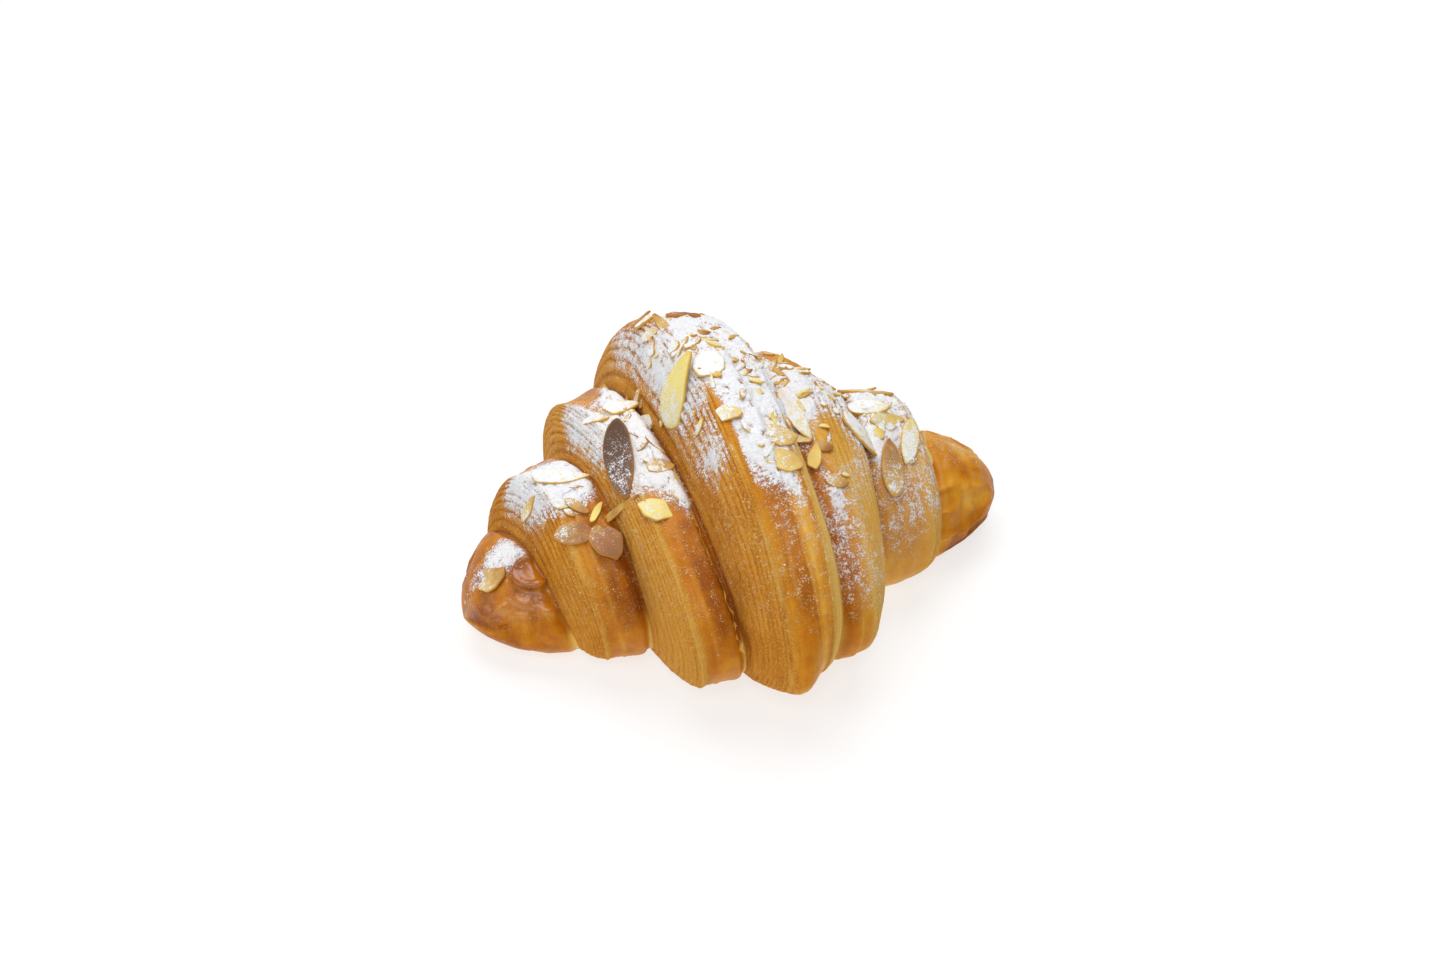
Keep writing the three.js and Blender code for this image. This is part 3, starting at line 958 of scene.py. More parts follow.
def icing_group():
    """Icing sugar on a surface: separate grains where it is thin, porous clumps where it is thick."""
    name = "Icing dust"
    if name in bpy.data.node_groups:
        return bpy.data.node_groups[name]
    inputs = [("Vector", "NodeSocketVector"), ("Density", "NodeSocketFloat")]
    group, source, sink = new_group(name, inputs, ["Mask", "Height"])
    vector, density = source.outputs["Vector"], source.outputs["Density"]
    drift = noise(group, vector, 300.0, 4.0, 0.65)
    uneven = times(group, density, smooth_range(group, drift, 0.32, 0.62))
    coarse = grain_layer(group, vector, times(group, uneven, 0.8), 1900.0, 0.08, 0.20)
    fine = grain_layer(group, vector, times(group, uneven, 1.3), 3300.0, 0.12, 0.26)
    clump = noise(group, vector, 480.0, 4.0, 0.6)
    powder = noise(group, vector, 1900.0, 3.0, 0.65)
    dust = noise(group, vector, 4800.0, 2.0, 0.6)
    lumpy = plus(group, times(group, powder, 0.38), clump, 0.30)
    heap = smooth_range(group, plus(group, lumpy, dust, 0.32), 0.38, 0.62)
    thick = smooth_range(group, plus(group, heap, density, 1.3), 1.14, 1.34)
    bright = times(group, coarse, plus(group, 0.45, density, 0.5))
    faint = times(group, fine, plus(group, 0.32, density, 0.3))
    haze = times(group, maths(group, "POWER", density, 2.8), times(group, powder, 0.6))
    cover = larger(group, larger(group, bright, faint), times(group, thick, 0.97))
    mask = larger(group, cover, haze)
    feed(group, sink.inputs["Mask"], mask)
    feed(group, sink.inputs["Height"], times(group, mask, maths(group, "ADD", powder, 0.3)))
    return group


def bake_group():
    """Uneven baking: broad patches, small blotches and fine specks."""
    name = "Uneven baking"
    if name in bpy.data.node_groups:
        return bpy.data.node_groups[name]
    group, source, sink = new_group(name, [("Vector", "NodeSocketVector")], ["Broad", "Blotch", "Speck"])
    vector = source.outputs["Vector"]
    feed(group, sink.inputs["Broad"], noise(group, vector, 70.0, 3.0, 0.5))
    feed(group, sink.inputs["Blotch"], noise(group, vector, 340.0, 4.0, 0.6))
    feed(group, sink.inputs["Speck"], noise(group, vector, 2000.0, 2.0, 0.5))
    return group


# Materials


def new_material(name):
    """A material with a Principled shader, its node tree and the piece's own coordinates."""
    material = bpy.data.materials.new(name)
    material.use_nodes = True
    tree = material.node_tree
    shader = tree.nodes["Principled BSDF"]
    place = add_node(tree, "ShaderNodeTexCoord").outputs["Object"]
    return material, tree, shader, place


def set_normal(tree, shader, height, strength, distance):
    """Bumps the shader's normal by a height."""
    bump = add_node(tree, "ShaderNodeBump")
    settle(bump, {"Strength": strength, "Distance": distance})
    feed(tree, bump.inputs["Height"], height)
    feed(tree, shader.inputs["Normal"], bump.outputs["Normal"])


def crust_strands(tree):
    """Strands of dough that run along the layers, from 0 to 1."""
    grain = add_node(tree, "ShaderNodeCombineXYZ")
    feed(tree, grain.inputs[0], field_value(tree, "across"))
    feed(tree, grain.inputs[1], times(tree, field_value(tree, "round"), 0.35))
    return smooth_range(tree, noise(tree, grain.outputs[0], 3.2, 4.0, 0.6), 0.30, 0.70)


def crown_colour(tree, colours, baking, strand):
    """Colour of closed crust by how dark it baked, with patches, blotches and faint strands."""
    patchy = swayed(tree, field_value(tree, "brown"), baking["Broad"], 0.45)
    mottled = swayed(tree, patchy, baking["Blotch"], 0.5)
    stops = (
        (0.10, colours.crust_pale),
        (0.34, colours.crust_golden),
        (0.62, colours.crust_amber),
        (0.95, colours.crust_dark),
    )
    return colour_ramp(tree, swayed(tree, mottled, strand, -0.05), stops)


def bare_crust_colour(tree, colours, crown, ridge_mix, cut, edge):
    """Colour of the crust under its sugar: crowns, then striped cut faces, pale dough, painted shade in the
    creases and the laminae's grooves, and pale sheet edges over them."""
    layers = blend_colours(tree, ridge_mix, colours.lamina_dark, colours.lamina_light)
    faces = blend_colours(tree, cut, crown, blend_colours(tree, 0.3, layers, crown))
    lightened = blend_colours(tree, field_value(tree, "pale"), faces, colours.sheet_edge)
    # Painted shade: the crust is darkened towards the darkest crust colour in the creases and the laminae's
    # grooves
    crease = times(tree, field_value(tree, "crease"), 0.75)
    crease_shaded = blend_colours(tree, crease, lightened, colours.crust_dark)
    return blend_colours(tree, times(tree, edge, 0.45), crease_shaded, colours.sheet_edge)


def dusting_colour(tree, colours, icing):
    """Colour of sugar on the crust: white where it lies thick, with painted shade in its low hollows, and
    warm where the crust shines through.
    """
    # Painted shade: sugar turns grey where its height is low, as if its hollows lay in shade
    raised = smooth_range(tree, icing["Height"], 0.55, 0.85)
    shaded_sugar = blend_colours(tree, raised, colours.sugar_painted_shade, colours.sugar_white)
    thickness = smooth_range(tree, field_value(tree, "sugar"), 0.26, 0.48)
    return blend_colours(tree, thickness, colours.sugar_thin, shaded_sugar)


def baked_crust_material(colours):
    """Egg-washed crust: glossy amber crowns, dry striped cut faces, pale sheet edges, and sugar on top."""
    name = "baked_crust"
    if name in bpy.data.materials:
        return bpy.data.materials[name]
    material, tree, shader, place = new_material(name)
    baking = use_group(tree, bake_group(), Vector=place)
    icing = use_group(tree, icing_group(), Vector=place, Density=field_value(tree, "sugar"))
    cut, ridge, edge = (field_value(tree, field) for field in ("cut", "ridge", "edge"))
    strand = crust_strands(tree)
    crumb = maths(tree, "SUBTRACT", smooth_range(tree, baking["Speck"], 0.3, 0.7), 0.5)
    # Lighter on the laminae's ridges and darker in their grooves, varied by strands and specks
    ridge_mix = plus(tree, swayed(tree, ridge, strand, 0.40), crumb, 0.7)
    crown = crown_colour(tree, colours, baking, strand)
    bare = bare_crust_colour(tree, colours, crown, ridge_mix, cut, edge)
    dusted = blend_colours(tree, icing["Mask"], bare, dusting_colour(tree, colours, icing))
    feed(tree, shader.inputs["Base Color"], dusted)
    dry = larger(tree, cut, larger(tree, icing["Mask"], times(tree, edge, 0.7)))
    dull = plus(tree, 0.34, dry, 0.38)
    feed(tree, shader.inputs["Roughness"], plus(tree, dull, baking["Speck"], 0.14))
    washed = maths(tree, "SUBTRACT", 1.0, dry, clamp=True)
    feed(tree, shader.inputs["Coat Weight"], times(tree, field_value(tree, "gloss"), washed))
    settle(
        shader,
        {
            "Coat Roughness": 0.22,
            "Coat IOR": 1.9,
            "Specular IOR Level": 0.10,
            "Subsurface Weight": 0.08,
            "Subsurface Radius": (0.004, 0.002, 0.0008),
            "Subsurface Scale": 0.6,
        },
    )
    fine = plus(tree, times(tree, baking["Blotch"], 0.55), baking["Speck"], 0.3)
    fibrous = plus(tree, fine, strand, plus(tree, 0.10, cut, 0.45))
    rough_cut = plus(tree, fibrous, times(tree, crumb, cut), 0.6)
    set_normal(tree, shader, plus(tree, rough_cut, icing["Height"], 1.2), 0.6, 0.0004)
    return material


def almond_material(colours):
    """Almond flesh: ivory in the middle, a tan rim, toasted or dark by the flake's own tone, and sugar on
    top."""
    name = "almond_flesh"
    if name in bpy.data.materials:
        return bpy.data.materials[name]
    material, tree, shader, place = new_material(name)
    baking = use_group(tree, bake_group(), Vector=place)
    icing = use_group(tree, icing_group(), Vector=place, Density=field_value(tree, "sugar"))
    stops = (
        (0.05, colours.almond_pale),
        (0.32, colours.almond_tan),
        (0.60, colours.almond_toasted),
        (0.95, colours.almond_dark),
    )
    flesh = colour_ramp(tree, swayed(tree, field_value(tree, "tone"), baking["Blotch"], 0.4), stops)
    rim = times(tree, field_value(tree, "rim"), 0.65)
    rimmed = blend_colours(tree, rim, flesh, colours.almond_rim)
    feed(tree, shader.inputs["Base Color"], blend_colours(tree, icing["Mask"], rimmed, colours.sugar_white))
    feed(tree, shader.inputs["Roughness"], plus(tree, 0.5, icing["Mask"], 0.3))
    settle(
        shader,
        {
            "Specular IOR Level": 0.2,
            "Subsurface Weight": 0.15,
            "Subsurface Radius": (0.003, 0.0018, 0.0009),
            "Subsurface Scale": 0.5,
        },
    )
    fibre = times(tree, baking["Blotch"], 0.5)
    set_normal(tree, shader, maths(tree, "ADD", icing["Height"], fibre), 0.5, 0.0003)
    return material


def sugar_material(colours):
    """Loose icing sugar: matt white, a little uneven."""
    name = "icing_sugar"
    if name in bpy.data.materials:
        return bpy.data.materials[name]
    material, tree, shader, place = new_material(name)
    baking = use_group(tree, bake_group(), Vector=place)
    shade = blend_colours(tree, baking["Blotch"], colours.sugar_warm, colours.sugar_white)
    feed(tree, shader.inputs["Base Color"], shade)
    settle(shader, {"Roughness": 0.75, "Subsurface Weight": 0.2, "Subsurface Radius": (0.001, 0.001, 0.001)})
    set_normal(tree, shader, baking["Speck"], 0.4, 0.0002)
    return material


def floor_material(studio):
    """A matt pale floor with a trace of unevenness and a glow of its own."""
    material, tree, shader, place = new_material("pale_floor")
    dimmed = tuple(v * FLOOR_SHARE for v in studio.floor_tint)
    patchy = blend_colours(tree, noise(tree, place, 40.0), dimmed, studio.floor_shade)
    feed(tree, shader.inputs["Base Color"], patchy)
    settle(
        shader,
        {
            "Roughness": 0.8,
            "Specular IOR Level": 0.1,
            "Emission Color": (*studio.floor_tint, 1.0),
            "Emission Strength": FLOOR_GLOW,
        },
    )
    return material


# Crust


def crust_layout(place, degrees):
    """Where each point of the crust lies on its turn, among its laminae and on the sheets over them. Laminae
    are rounded ridges with sharp grooves, wandering and of uneven strength, that fade out past a shoulder."""
    bare = crust_points(place, degrees)
    place, degrees = np.broadcast_arrays(place, degrees)
    shoulder, lamina, outside, number = turn_fields(place)
    on_turn = number % RIGHT_NUMBER < TURNS
    wander = layered_noise(bare, 13.0, SEED + 3) - 0.5
    line = lamina + 0.9 * wander
    flaky = layered_noise(drawn_out(line, degrees, number, (1.7, 26.0, 3.1)), 1.0, SEED + 6)
    even = 0.72 + 0.18 * rising(degrees, 35, 40)
    strands = layered_noise(drawn_out(line, degrees, number, (0.7, 15.0, 3.7)), 1.0, SEED + 9, 2)
    faded = np.exp(-np.maximum(shoulder, 0.0) / LAMINA_FADE) * on_turn
    patches = layered_noise(bare, 6.0, SEED + 5) - 0.5
    pulled = layered_noise(drawn_out(lamina, degrees, number, (0.9, 30.0, 5.1)), 1.0, SEED + 20)
    return SimpleNamespace(
        bare=bare,
        place=place,
        degrees=degrees,
        shoulder=shoulder,
        lamina=lamina,
        outside=outside,
        number=number,
        line=line,
        ridge=even * np.abs(np.sin(np.pi * line)) ** 0.45 + (1.0 - even) * rising(flaky, 0.25, 0.4),
        strength=0.25 + 1.5 * strands**1.3,
        faded=faded,
        laid_open=rising(faded + 0.5 * patches, 0.25, 0.6),
        edge=hump(shoulder, 0.1, 0.45) * rising(layered_noise(bare, 9.0, SEED + 12), 0.30, 0.3),
        streaks=pulled - 0.5,
        step=shoulder - SHEET_STEP + 1.6 * wander,
        stepped=on_turn * rising(layered_noise(bare, 11.0, SEED + 15), 0.35, 0.25),
    )


def crust_rise(at, sizes):
    """How far the crust moves out along its normal: laminae, the lips of two top sheets, pleats and blisters
    on closed crust, and the knobs' own relief."""
    degrees, place = at.degrees, at.place
    bold = 1.0 + 0.35 * rising(degrees, 30, 50) * by_half(place, (1.0, 0.5))
    pleated = 0.30 + 0.45 * rising(degrees, 15, 15) * falling(degrees, 80, 20) * by_half(place, (1.0, 0.3))
    blisters = layered_noise(at.bare, 6.5, SEED + 24) - 0.5
    lips = at.edge + 0.8 * at.stepped * (hump(at.step, 0.5, 0.5) - hump(at.step, -0.2, 0.35))
    rise = sizes.lamina_depth / MM * at.faded * bold * at.strength * (at.ridge - 0.62)
    rise = rise + sizes.sheet_lip / MM * lips
    rise = rise + (1.0 - 0.8 * at.laid_open) * (pleated * at.streaks + 0.75 * blisters)
    return rise + knob_relief(at.bare, place, degrees)


def crust_fields(at):
    """What the crust's colour and gloss depend on, and the coordinates of its strands."""
    degrees, place = at.degrees, at.place
    steep = 0.35 + 0.65 * rising(degrees, 40, 35) * falling(degrees, 200, 40) * by_half(place, (1.0, 0.4))
    # Painted shade: the grooves between the laminae and the creases outside each edge are darkened, and the
    # crease field carries this shade
    groove = falling(np.abs(np.sin(np.pi * at.line)), 0.42, 0.36)
    grooves = np.clip(0.85 * at.laid_open * steep * at.strength * groove, 0.0, 0.9)
    creases = bell(at.outside / 0.9) * rising(degrees, 4, 20) * falling(degrees, 190, 20)
    calm = falling(degrees, 45, 30) * (0.22 + 0.2 * rising(-place, 12, 3))
    ridges = between(at.ridge * np.clip(at.strength, 0.0, 1.0), 0.75, calm)
    darkened = 0.4 * rising(-place, 39, 3) * rising(degrees, 60, 30)
    baked = browning(at.bare, degrees, place, at.shoulder)
    shine = 0.06 + 0.50 * rising(-place, 45, 4) * rising(degrees, 22, 22) * falling(degrees, 92, 24)
    low = falling(at.bare[..., 2], 7.0, 6.0)
    return {
        "cut": at.laid_open,
        "ridge": ridges * (1.0 - darkened),
        # The line along the second sheet's step is pale sheet edge with a painted highlight on its raised lip
        "edge": np.maximum(at.edge, 0.4 * at.stepped * hump(at.step, 0.5, 0.4)),
        "brown": baked - 0.3 * at.streaks * (1.0 - at.laid_open),
        "pale": paleness(place, degrees, at.number, at.laid_open, at.outside),
        "crease": np.maximum(creases, grooves),
        "sugar": sugar_density(at.bare, degrees, place, at.laid_open, at.ridge),
        "gloss": shine * rising(degrees, -8, 24) * (1.0 - low),
        "across": at.lamina,
        "round": degrees / 10.0 + 7.0 * at.number,
    }


def crust_relief(place, degrees, sizes):
    """The crust's bare points, how far each moves out along its normal, and what its colour depends on."""
    at = crust_layout(place, degrees)
    return at.bare, crust_rise(at, sizes), crust_fields(at)


def crust_surface(sizes):
    """The crust as a grid of rings, moved along its normals by its relief and cut flat at the table."""
    bare, move, fields = crust_relief(ring_places()[:, None], ring_angles()[None, :], sizes)
    normal = ring_normals(bare)
    points = bare + normal * move[..., None]
    points[..., 2] = np.maximum(points[..., 2], 0.0)
    bottom = falling(bare[..., 2], 0.5, 0.5)
    for name in ("cut", "edge", "pale", "crease", "sugar", "gloss"):
        fields[name] = fields[name] * (1.0 - bottom)
    return points, normal, fields


def tip_fans(rings, angles):
    """Triangles from the first ring to the left tip and from the last ring to the right tip, whose points
    come after those of all rings."""
    ring = np.arange(angles)
    after = (ring + 1) % angles
    last = (rings - 1) * angles
    left = np.stack([np.full(angles, rings * angles), ring, after], axis=-1)
    right = np.stack([np.full(angles, rings * angles + 1), last + after, last + ring], axis=-1)
    return np.concatenate([left, right])


class CROISSANT_OT_crust(Operator):
    """Makes the crust of wound laminated dough, and hides the CAD croissant that it takes the place of"""

    bl_idname = "croissant.crust"
    bl_label = "Crust"

    def execute(self, context):
        sizes, colours = context.scene.croissant_sizes, context.scene.croissant_colours
        points, _, fields = crust_surface(sizes)
        rings, angles = points.shape[:2]
        tips = crust_points(np.array([-TIP[0], TIP[1]]), np.zeros(2))
        crust = new_piece(
            "crust",
            np.concatenate([points.reshape(-1, 3), tips]),
            grid_faces(rings, angles),
            tip_fans(rings, angles),
            baked_crust_material(colours),
            {name: np.append(values.ravel(), values[[0, -1], 0]) for name, values in fields.items()},
        )
        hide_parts(NODE)
        return {"FINISHED"}


# Almond flakes


def spread(count, stream):
    """Shares between 0 and 1, spread evenly over the counts and different for each stream."""
    return ((np.arange(count) + 1) * STRIDES[stream]) % 1.0


def strewn_rows():
    """Rows for the smaller flakes strewn along the ridge: evenly spread shares of each value's range."""
    return np.stack(
        [between(low, high, spread(STREWN_COUNT, stream)) for low, high, stream in STREWN_RANGES], axis=-1
    )


def sliver_rows():
    """Rows for small broken slivers over the ridge of the middle turns, drawn at random."""
    draw = np.random.default_rng(SEED + 80)
    along = np.clip(draw.normal(*SLIVER_ALONG, SLIVER_COUNT), *SLIVER_ENDS)
    around = draw.normal(*SLIVER_AROUND, SLIVER_COUNT)
    turn, tilt, *others = (draw.uniform(low, high, SLIVER_COUNT) for low, high in SLIVER_RANGES)
    return np.stack([along, around, turn, tilt, np.zeros(SLIVER_COUNT), *others], axis=-1)


def swung(first, second, degrees):
    """Two coordinates after a swing from the first axis towards the second."""
    angle = np.radians(degrees)
    return first * np.cos(angle) - second * np.sin(angle), first * np.sin(angle) + second * np.cos(angle)


def flake_outline(draw, lap, broken):
    """How far out each flake's outline lies, as a share of a plain oval: wavy, and broken off along a few
    straight lines."""
    one = broken.shape
    outline = 1.0 + draw.uniform(0.0, 0.08, one) * np.sin(3 * lap + draw.uniform(0, 6, one))
    outline = outline + draw.uniform(0.0, 0.025, one) * np.sin(7 * lap + draw.uniform(0, 6, one))
    for _ in range(FLAKE_BREAKS):
        facing = np.cos(lap - draw.uniform(0, 2 * np.pi, one))
        depth = 1.0 - broken * draw.uniform(0.1, 0.6, one)
        outline = np.minimum(outline, depth / np.maximum(facing, 0.05))
    return outline


def flake_surfaces(rows, thickness, sides, profile, seed):
    """Closed flakes: a rounded slab's profile from top to bottom, carried round a pointed oval outline that
    is uneven and broken, then bowed and set on the crust by its place, roll, tilt and turn."""
    draw = np.random.default_rng(seed)
    columns = (column[:, None, None] for column in rows.T)
    along, around, turn, tilt, roll, length, width, tone, dust, broken = columns
    one = broken.shape
    lap = np.linspace(0, 2 * np.pi, sides, endpoint=False)[None, None, :]
    radius, level, rim = (np.array(column)[None, :, None] for column in zip(*profile))
    outline = np.where(radius < FLAKE_CORE, 1.0, flake_outline(draw, lap, broken))
    x = np.cos(lap) * outline * radius * length / 2
    pointed = np.sign(np.sin(lap)) * np.abs(np.sin(lap)) ** FLAKE_POINT
    y = pointed * (1.0 - FLAKE_TAPER * np.cos(lap)) * outline * radius * width / 2
    bow = FLAKE_BOW * draw.uniform(0.4, 1.3, one)
    twist = draw.normal(0.0, 0.02, one)
    seat = FLAKE_SEAT + FLAKE_LIFT * np.maximum(length - FLAKE_LONG, 0.0)
    z = level * thickness / 2 + seat - bow * x * x + twist * x * y
    z = z + 0.06 * np.sin(2.2 * x + draw.uniform(0, 6, one))
    y, z = swung(y, z, roll)
    x, z = swung(x, z, tilt)
    x, y = swung(x, y, turn)
    point, forward, upward, normal = crust_frames(along, around)
    points = point + x[..., None] * forward + y[..., None] * upward + z[..., None] * normal
    powder = np.clip(dust - 1.1 * dust * (1.0 - dust) * np.cos(lap) * radius, 0.0, 1.0)
    uphill = np.sin(lap + np.radians(turn))
    shaken = (1.0 - rim * (0.62 - 0.38 * uphill)) ** 2 * (level > 0)
    fields = {"tone": tone + 0.10 * np.cos(lap) * radius, "rim": rim, "sugar": powder * shaken}
    return points, {name: np.broadcast_to(values, x.shape) for name, values in fields.items()}


class CROISSANT_OT_almonds(Operator):
    """Makes the almond flakes and the small slivers that lie among them"""

    bl_idname = "croissant.almonds"
    bl_label = "Almond flakes"

    def execute(self, context):
        sizes, colours = context.scene.croissant_sizes, context.scene.croissant_colours
        thickness = sizes.flake_thickness / MM
        thin = thickness * SLIVER_THICKNESS_SHARE
        flakes = np.concatenate([np.array(FLAKES, float), strewn_rows()])
        slivers = np.concatenate([np.array(BITS, float), sliver_rows()])
        kinds = {
            "almond_flakes": (flakes, thickness, FLAKE_SIDES, FLAKE_PROFILE, SEED + 90),
            "almond_slivers": (slivers, thin, SLIVER_SIDES, SLIVER_PROFILE, SEED + 91),
        }
        for name, settings in kinds.items():
            points, fields = flake_surfaces(*settings)
            quads, fans = many_tubes(*points.shape[:3])
            new_piece(name, points, quads, fans, almond_material(colours), fields)
        return {"FINISHED"}


# Lifted pastry edges


def shred_rows():
    """Half, turn, middle angle, span in degrees, width and a random share of each shred, drawn along the
    creases."""
    draw = np.random.default_rng(SEED + 70)
    rows = []
    for half, turn, (low, high), count in SHRED_LINES:
        middle = np.linspace(low, high, count) + draw.uniform(-3, 3, count)
        for angle in middle:
            rows.append((half, turn, angle, draw.uniform(16, 30), draw.uniform(0.7, 1.3), draw.random()))
    return np.array(rows)


def shred_surfaces(rows, lift):
    """Thin wavy strips: each runs along a crease, stands up from it and leans outwards, and tapers to both
    ends; its other side is the same strip moved in by its thickness. With them, how far out a point is."""
    half, turn, middle, span, width, share = (column[:, None, None] for column in rows.T)
    length = np.linspace(-1, 1, SHRED_LENGTH)[None, :, None]
    across = np.linspace(0, 1, SHRED_ACROSS)[None, None, :]
    edge = np.array(EDGE)[half.astype(int), turn.astype(int)]
    sign = np.where(half < 0.5, -1.0, 1.0)
    taper = np.maximum(0.02, 1.0 - length**2) ** 0.6
    ragged = 1.0 + 0.3 * np.sin(5 * length + 9 * share) + 0.15 * np.sin(13 * length + 23 * share)
    wave = 0.7 * np.sin(4 * length + 14 * share) + 0.3 * np.sin(11 * length + 5 * share)
    out = edge + SHRED_OUTSIDE + 0.5 * wave + 0 * across
    degrees = middle + span / 2 * length + 0 * across
    base, ahead, _, normal = crust_frames(sign * out, degrees)
    tall = (lift * width * ragged * taper * across - SHRED_SUNK)[..., None]
    lean = (sign * (0.25 + 0.5 * share) * width * taper * across**2)[..., None]
    top = base + normal * tall + ahead * lean
    bottom = top - ahead * (sign * SHRED_THICKNESS * taper * (1.2 - across))[..., None]
    return top, bottom, np.broadcast_to(across * taper, out.shape)


class CROISSANT_OT_shreds(Operator):
    """Makes the loose edges of pastry that stand in the creases outside the turns"""

    bl_idname = "croissant.shreds"
    bl_label = "Lifted edges"

    def execute(self, context):
        sizes, colours = context.scene.croissant_sizes, context.scene.croissant_colours
        rows = shred_rows()
        top, bottom, outer = shred_surfaces(rows, sizes.shred_lift / MM)
        points = np.concatenate([top, bottom[:, :, ::-1]], axis=2)
        pale = np.concatenate([outer, outer[:, :, ::-1]], axis=2)
        left = (rows[:, 0] < 0.5)[:, None, None]
        quads, fans = (np.where(left, faces, faces[..., ::-1]) for faces in many_tubes(*points.shape[:3]))
        fields = {
            "cut": 0.5,
            "ridge": 1.0,
            "edge": 0.3 + 0.5 * pale,
            "brown": 0.5 - 0.2 * pale,
            "pale": 0.3 * pale,
            "crease": 0.0,
            "sugar": 0.15,
            "gloss": 0.0,
            "across": 3.0 * pale,
            "round": 0.0,
        }
        new_piece("crust_shreds", points, quads, fans, baked_crust_material(colours), fields)
        return {"FINISHED"}


# Icing sugar


def sugar_drift(sizes):
    """Sugar lying thick along the ridge: the crust moved out by a lumpy depth with pinholes, which dips below
    the crust where sugar thins out, and closed underneath by the same surface sunk in."""
    place = np.linspace(*DRIFT_PLACES)[:, None]
    degrees = np.linspace(*DRIFT_ANGLES)[None, :]
    bare, move, fields = crust_relief(place, degrees, sizes)
    normal = unit(np.cross(np.gradient(bare, axis=0), np.gradient(bare, axis=1)))
    lumps = 1.5 * layered_noise(bare, 3.6, SEED + 30) + 1.1 * layered_noise(bare, 1.3, SEED + 34, 2)
    pinholes = rising(value_noise(bare, 2.1, SEED + 37), 0.66, 0.12)
    laid = rising(fields["sugar"], 0.55, 0.35)
    depth = laid * (lumps - 0.15) - 1.2 * pinholes * laid - 0.35
    fields["sugar"] = np.clip(0.70 + 0.48 * depth - 0.15 * pinholes, 0.0, 1.0)
    rim = inside_span(place, DRIFT_PLACES, 3) * inside_span(degrees, DRIFT_ANGLES, 4)
    height = between(-DRIFT_DEPTH / 2, sizes.sugar_depth / MM * depth, rim)
    top = bare + normal * (move + height)[..., None]
    columns = np.linspace(degrees.size - 1, 0, DRIFT_UNDER).astype(int)
    under = (bare + normal * (move - DRIFT_DEPTH)[..., None])[:, columns]
    fields = {name: np.concatenate([values, values[:, columns]], axis=1) for name, values in fields.items()}
    return np.concatenate([top, under], axis=1), fields


def sugar_grains(sizes):
    """Points and triangles of loose grains: uneven octahedra picked at random on the crust, more of them and
    some larger ones where sugar lies thick."""
    points, normal, fields = crust_surface(sizes)
    draw = np.random.default_rng(SEED + 100)
    weight = fields["sugar"].ravel() ** 2.2
    patch = np.cross(np.gradient(points, axis=0), np.roll(points, -1, axis=1) - points)
    chance = weight * np.linalg.norm(patch, axis=-1).ravel()
    picks = draw.choice(len(chance), sizes.grain_count, p=chance / chance.sum())
    size = sizes.grain_size / MM * (0.35 + 0.65 * draw.random(len(picks)) ** 2)
    clumped = draw.random(len(picks)) < 0.10 * weight[picks]
    size = np.where(clumped, size * 2.4, size)
    centre = points.reshape(-1, 3)[picks] + normal.reshape(-1, 3)[picks] * size[:, None] * 0.4
    centre += draw.normal(0.0, 0.12, centre.shape)
    stretch = draw.uniform(0.7, 1.25, (len(picks), *OCTAHEDRON.shape))
    grains = centre[:, None, :] + OCTAHEDRON[None] * stretch * size[:, None, None]
    faces = OCTAHEDRON_FACES[None] + np.arange(len(picks))[:, None, None] * len(OCTAHEDRON)
    return grains, faces


class CROISSANT_OT_sugar(Operator):
    """Makes the thick drift of icing sugar along the ridge and the loose grains on the crust"""

    bl_idname = "croissant.sugar"
    bl_label = "Icing sugar"

    def execute(self, context):
        sizes, colours = context.scene.croissant_sizes, context.scene.croissant_colours
        points, fields = sugar_drift(sizes)
        quads, fans = tube_faces(*points.shape[:2])
        new_piece("sugar_drift", points, quads, fans, baked_crust_material(colours), fields)
        grains, faces = sugar_grains(sizes)
        new_piece("sugar_grains", grains, (), faces, sugar_material(colours), {})
        return {"FINISHED"}


# Stage


def pale_floor(scene, studio):
    """A square floor at the table's height."""
    corners = [(x * FLOOR_HALF, y * FLOOR_HALF, 0) for x, y in ((-1, -1), (1, -1), (1, 1), (-1, 1))]
    mesh = bpy.data.meshes.new("floor")
    mesh.from_pydata(corners, [], [(0, 1, 2, 3)])
    mesh.materials.append(floor_material(studio))
    floor = bpy.data.objects.new("floor", mesh)
    scene.collection.objects.link(floor)


def even_light(scene, strength):
    """A plain white sky."""
    world = bpy.data.worlds.new("studio_sky")
    scene.world = world
    world.use_nodes = True
    settle(world.node_tree.nodes["Background"], {"Color": (1.0, 1.0, 1.0, 1.0), "Strength": strength})


def soft_light(scene, name, place, aim, size, power):
    """A square softbox that faces a point."""
    data = bpy.data.lights.new(name, "AREA")
    data.energy = power
    data.size = size
    light = bpy.data.objects.new(name, data)
    light.location = place
    light.rotation_euler = (aim - Vector(place)).to_track_quat("-Z", "Y").to_euler()
    scene.collection.objects.link(light)


def photo_camera(scene, studio, aim):
    """A camera at an azimuth, an elevation and a distance from the point that it faces."""
    level = math.cos(studio.elevation)
    sideways, forward = math.sin(studio.azimuth) * level, math.cos(studio.azimuth) * level
    back = Vector((sideways, -forward, math.sin(studio.elevation)))
    data = bpy.data.cameras.new("photo_camera")
    data.lens = studio.lens
    data.sensor_width = SENSOR_WIDTH
    data.clip_start = CLIP_START
    camera = bpy.data.objects.new("photo_camera", data)
    camera.location = aim + back * studio.distance
    camera.rotation_euler = back.to_track_quat("Z", "Y").to_euler()
    scene.collection.objects.link(camera)
    scene.camera = camera


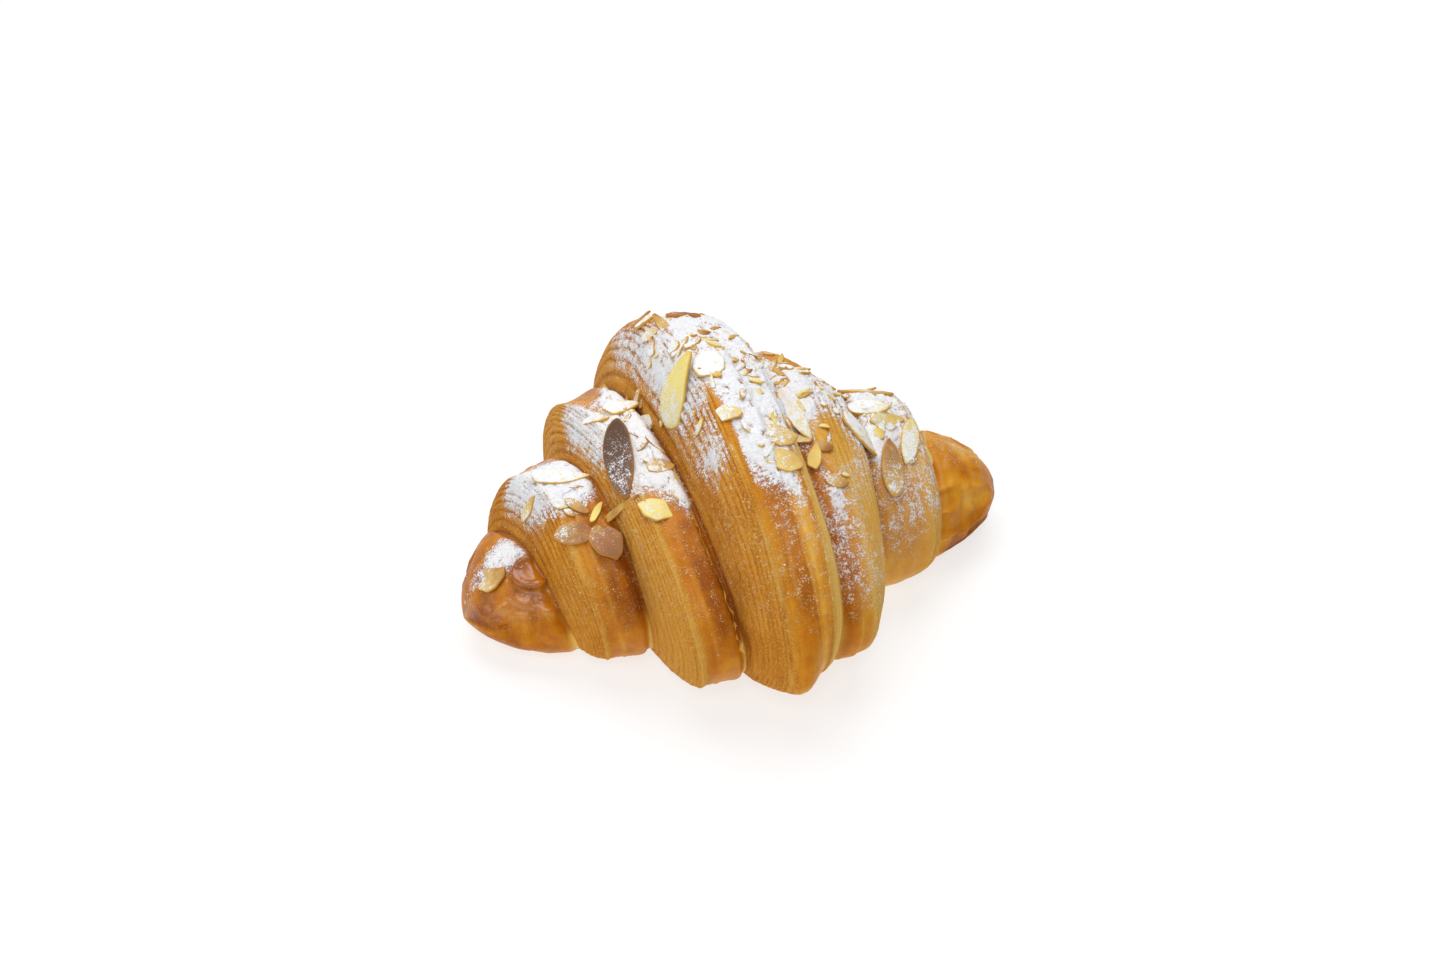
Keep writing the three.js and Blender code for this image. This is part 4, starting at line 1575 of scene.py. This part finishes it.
class CROISSANT_OT_stage(Operator):
    """Makes the pale floor, the soft light and the camera"""

    bl_idname = "croissant.stage"
    bl_label = "Stage"

    def execute(self, context):
        scene = context.scene
        studio = scene.croissant_studio
        aim = Vector(AIM) * MM
        pale_floor(scene, studio)
        even_light(scene, studio.sky_light)
        for name, place, size, setting in SOFTBOXES:
            soft_light(scene, name, place, aim, size, getattr(studio, setting))
        scene.view_settings.view_transform = "Standard"
        scene.view_settings.look = "None"
        photo_camera(scene, studio, aim)
        return {"FINISHED"}


class CROISSANT_PT_panel(Panel):
    """Lists the croissant's pieces and what can be changed about them"""

    bl_idname = "CROISSANT_PT_panel"
    bl_label = "Almond croissant"
    bl_space_type = "VIEW_3D"
    bl_region_type = "UI"
    bl_category = "Croissant"

    def draw(self, context):
        for operator in OPERATORS:
            self.layout.operator(operator.bl_idname)
        for settings, cls in SETTINGS.items():
            box = self.layout.box()
            for name in cls.__annotations__:
                box.prop(getattr(context.scene, settings), name)


OPERATORS = (
    CROISSANT_OT_crust,
    CROISSANT_OT_shreds,
    CROISSANT_OT_almonds,
    CROISSANT_OT_sugar,
    CROISSANT_OT_stage,
)
SETTINGS = {
    "croissant_sizes": CroissantSizes,
    "croissant_colours": CroissantColours,
    "croissant_studio": CroissantStudio,
}
CLASSES = (*SETTINGS.values(), *OPERATORS, CROISSANT_PT_panel)


def register():
    """Registers the classes and adds the settings to the scene."""
    for cls in CLASSES:
        bpy.utils.register_class(cls)
    for name, cls in SETTINGS.items():
        setattr(bpy.types.Scene, name, PointerProperty(type=cls))


def unregister():
    """Takes the settings off the scene and the classes out again."""
    for name in SETTINGS:
        delattr(bpy.types.Scene, name)
    for cls in reversed(CLASSES):
        bpy.utils.unregister_class(cls)


def main():
    """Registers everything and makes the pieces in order."""
    register()
    bpy.ops.croissant.crust()
    bpy.ops.croissant.shreds()
    bpy.ops.croissant.almonds()
    bpy.ops.croissant.sugar()
    bpy.ops.croissant.stage()


if __name__ == "__main__":
    main()
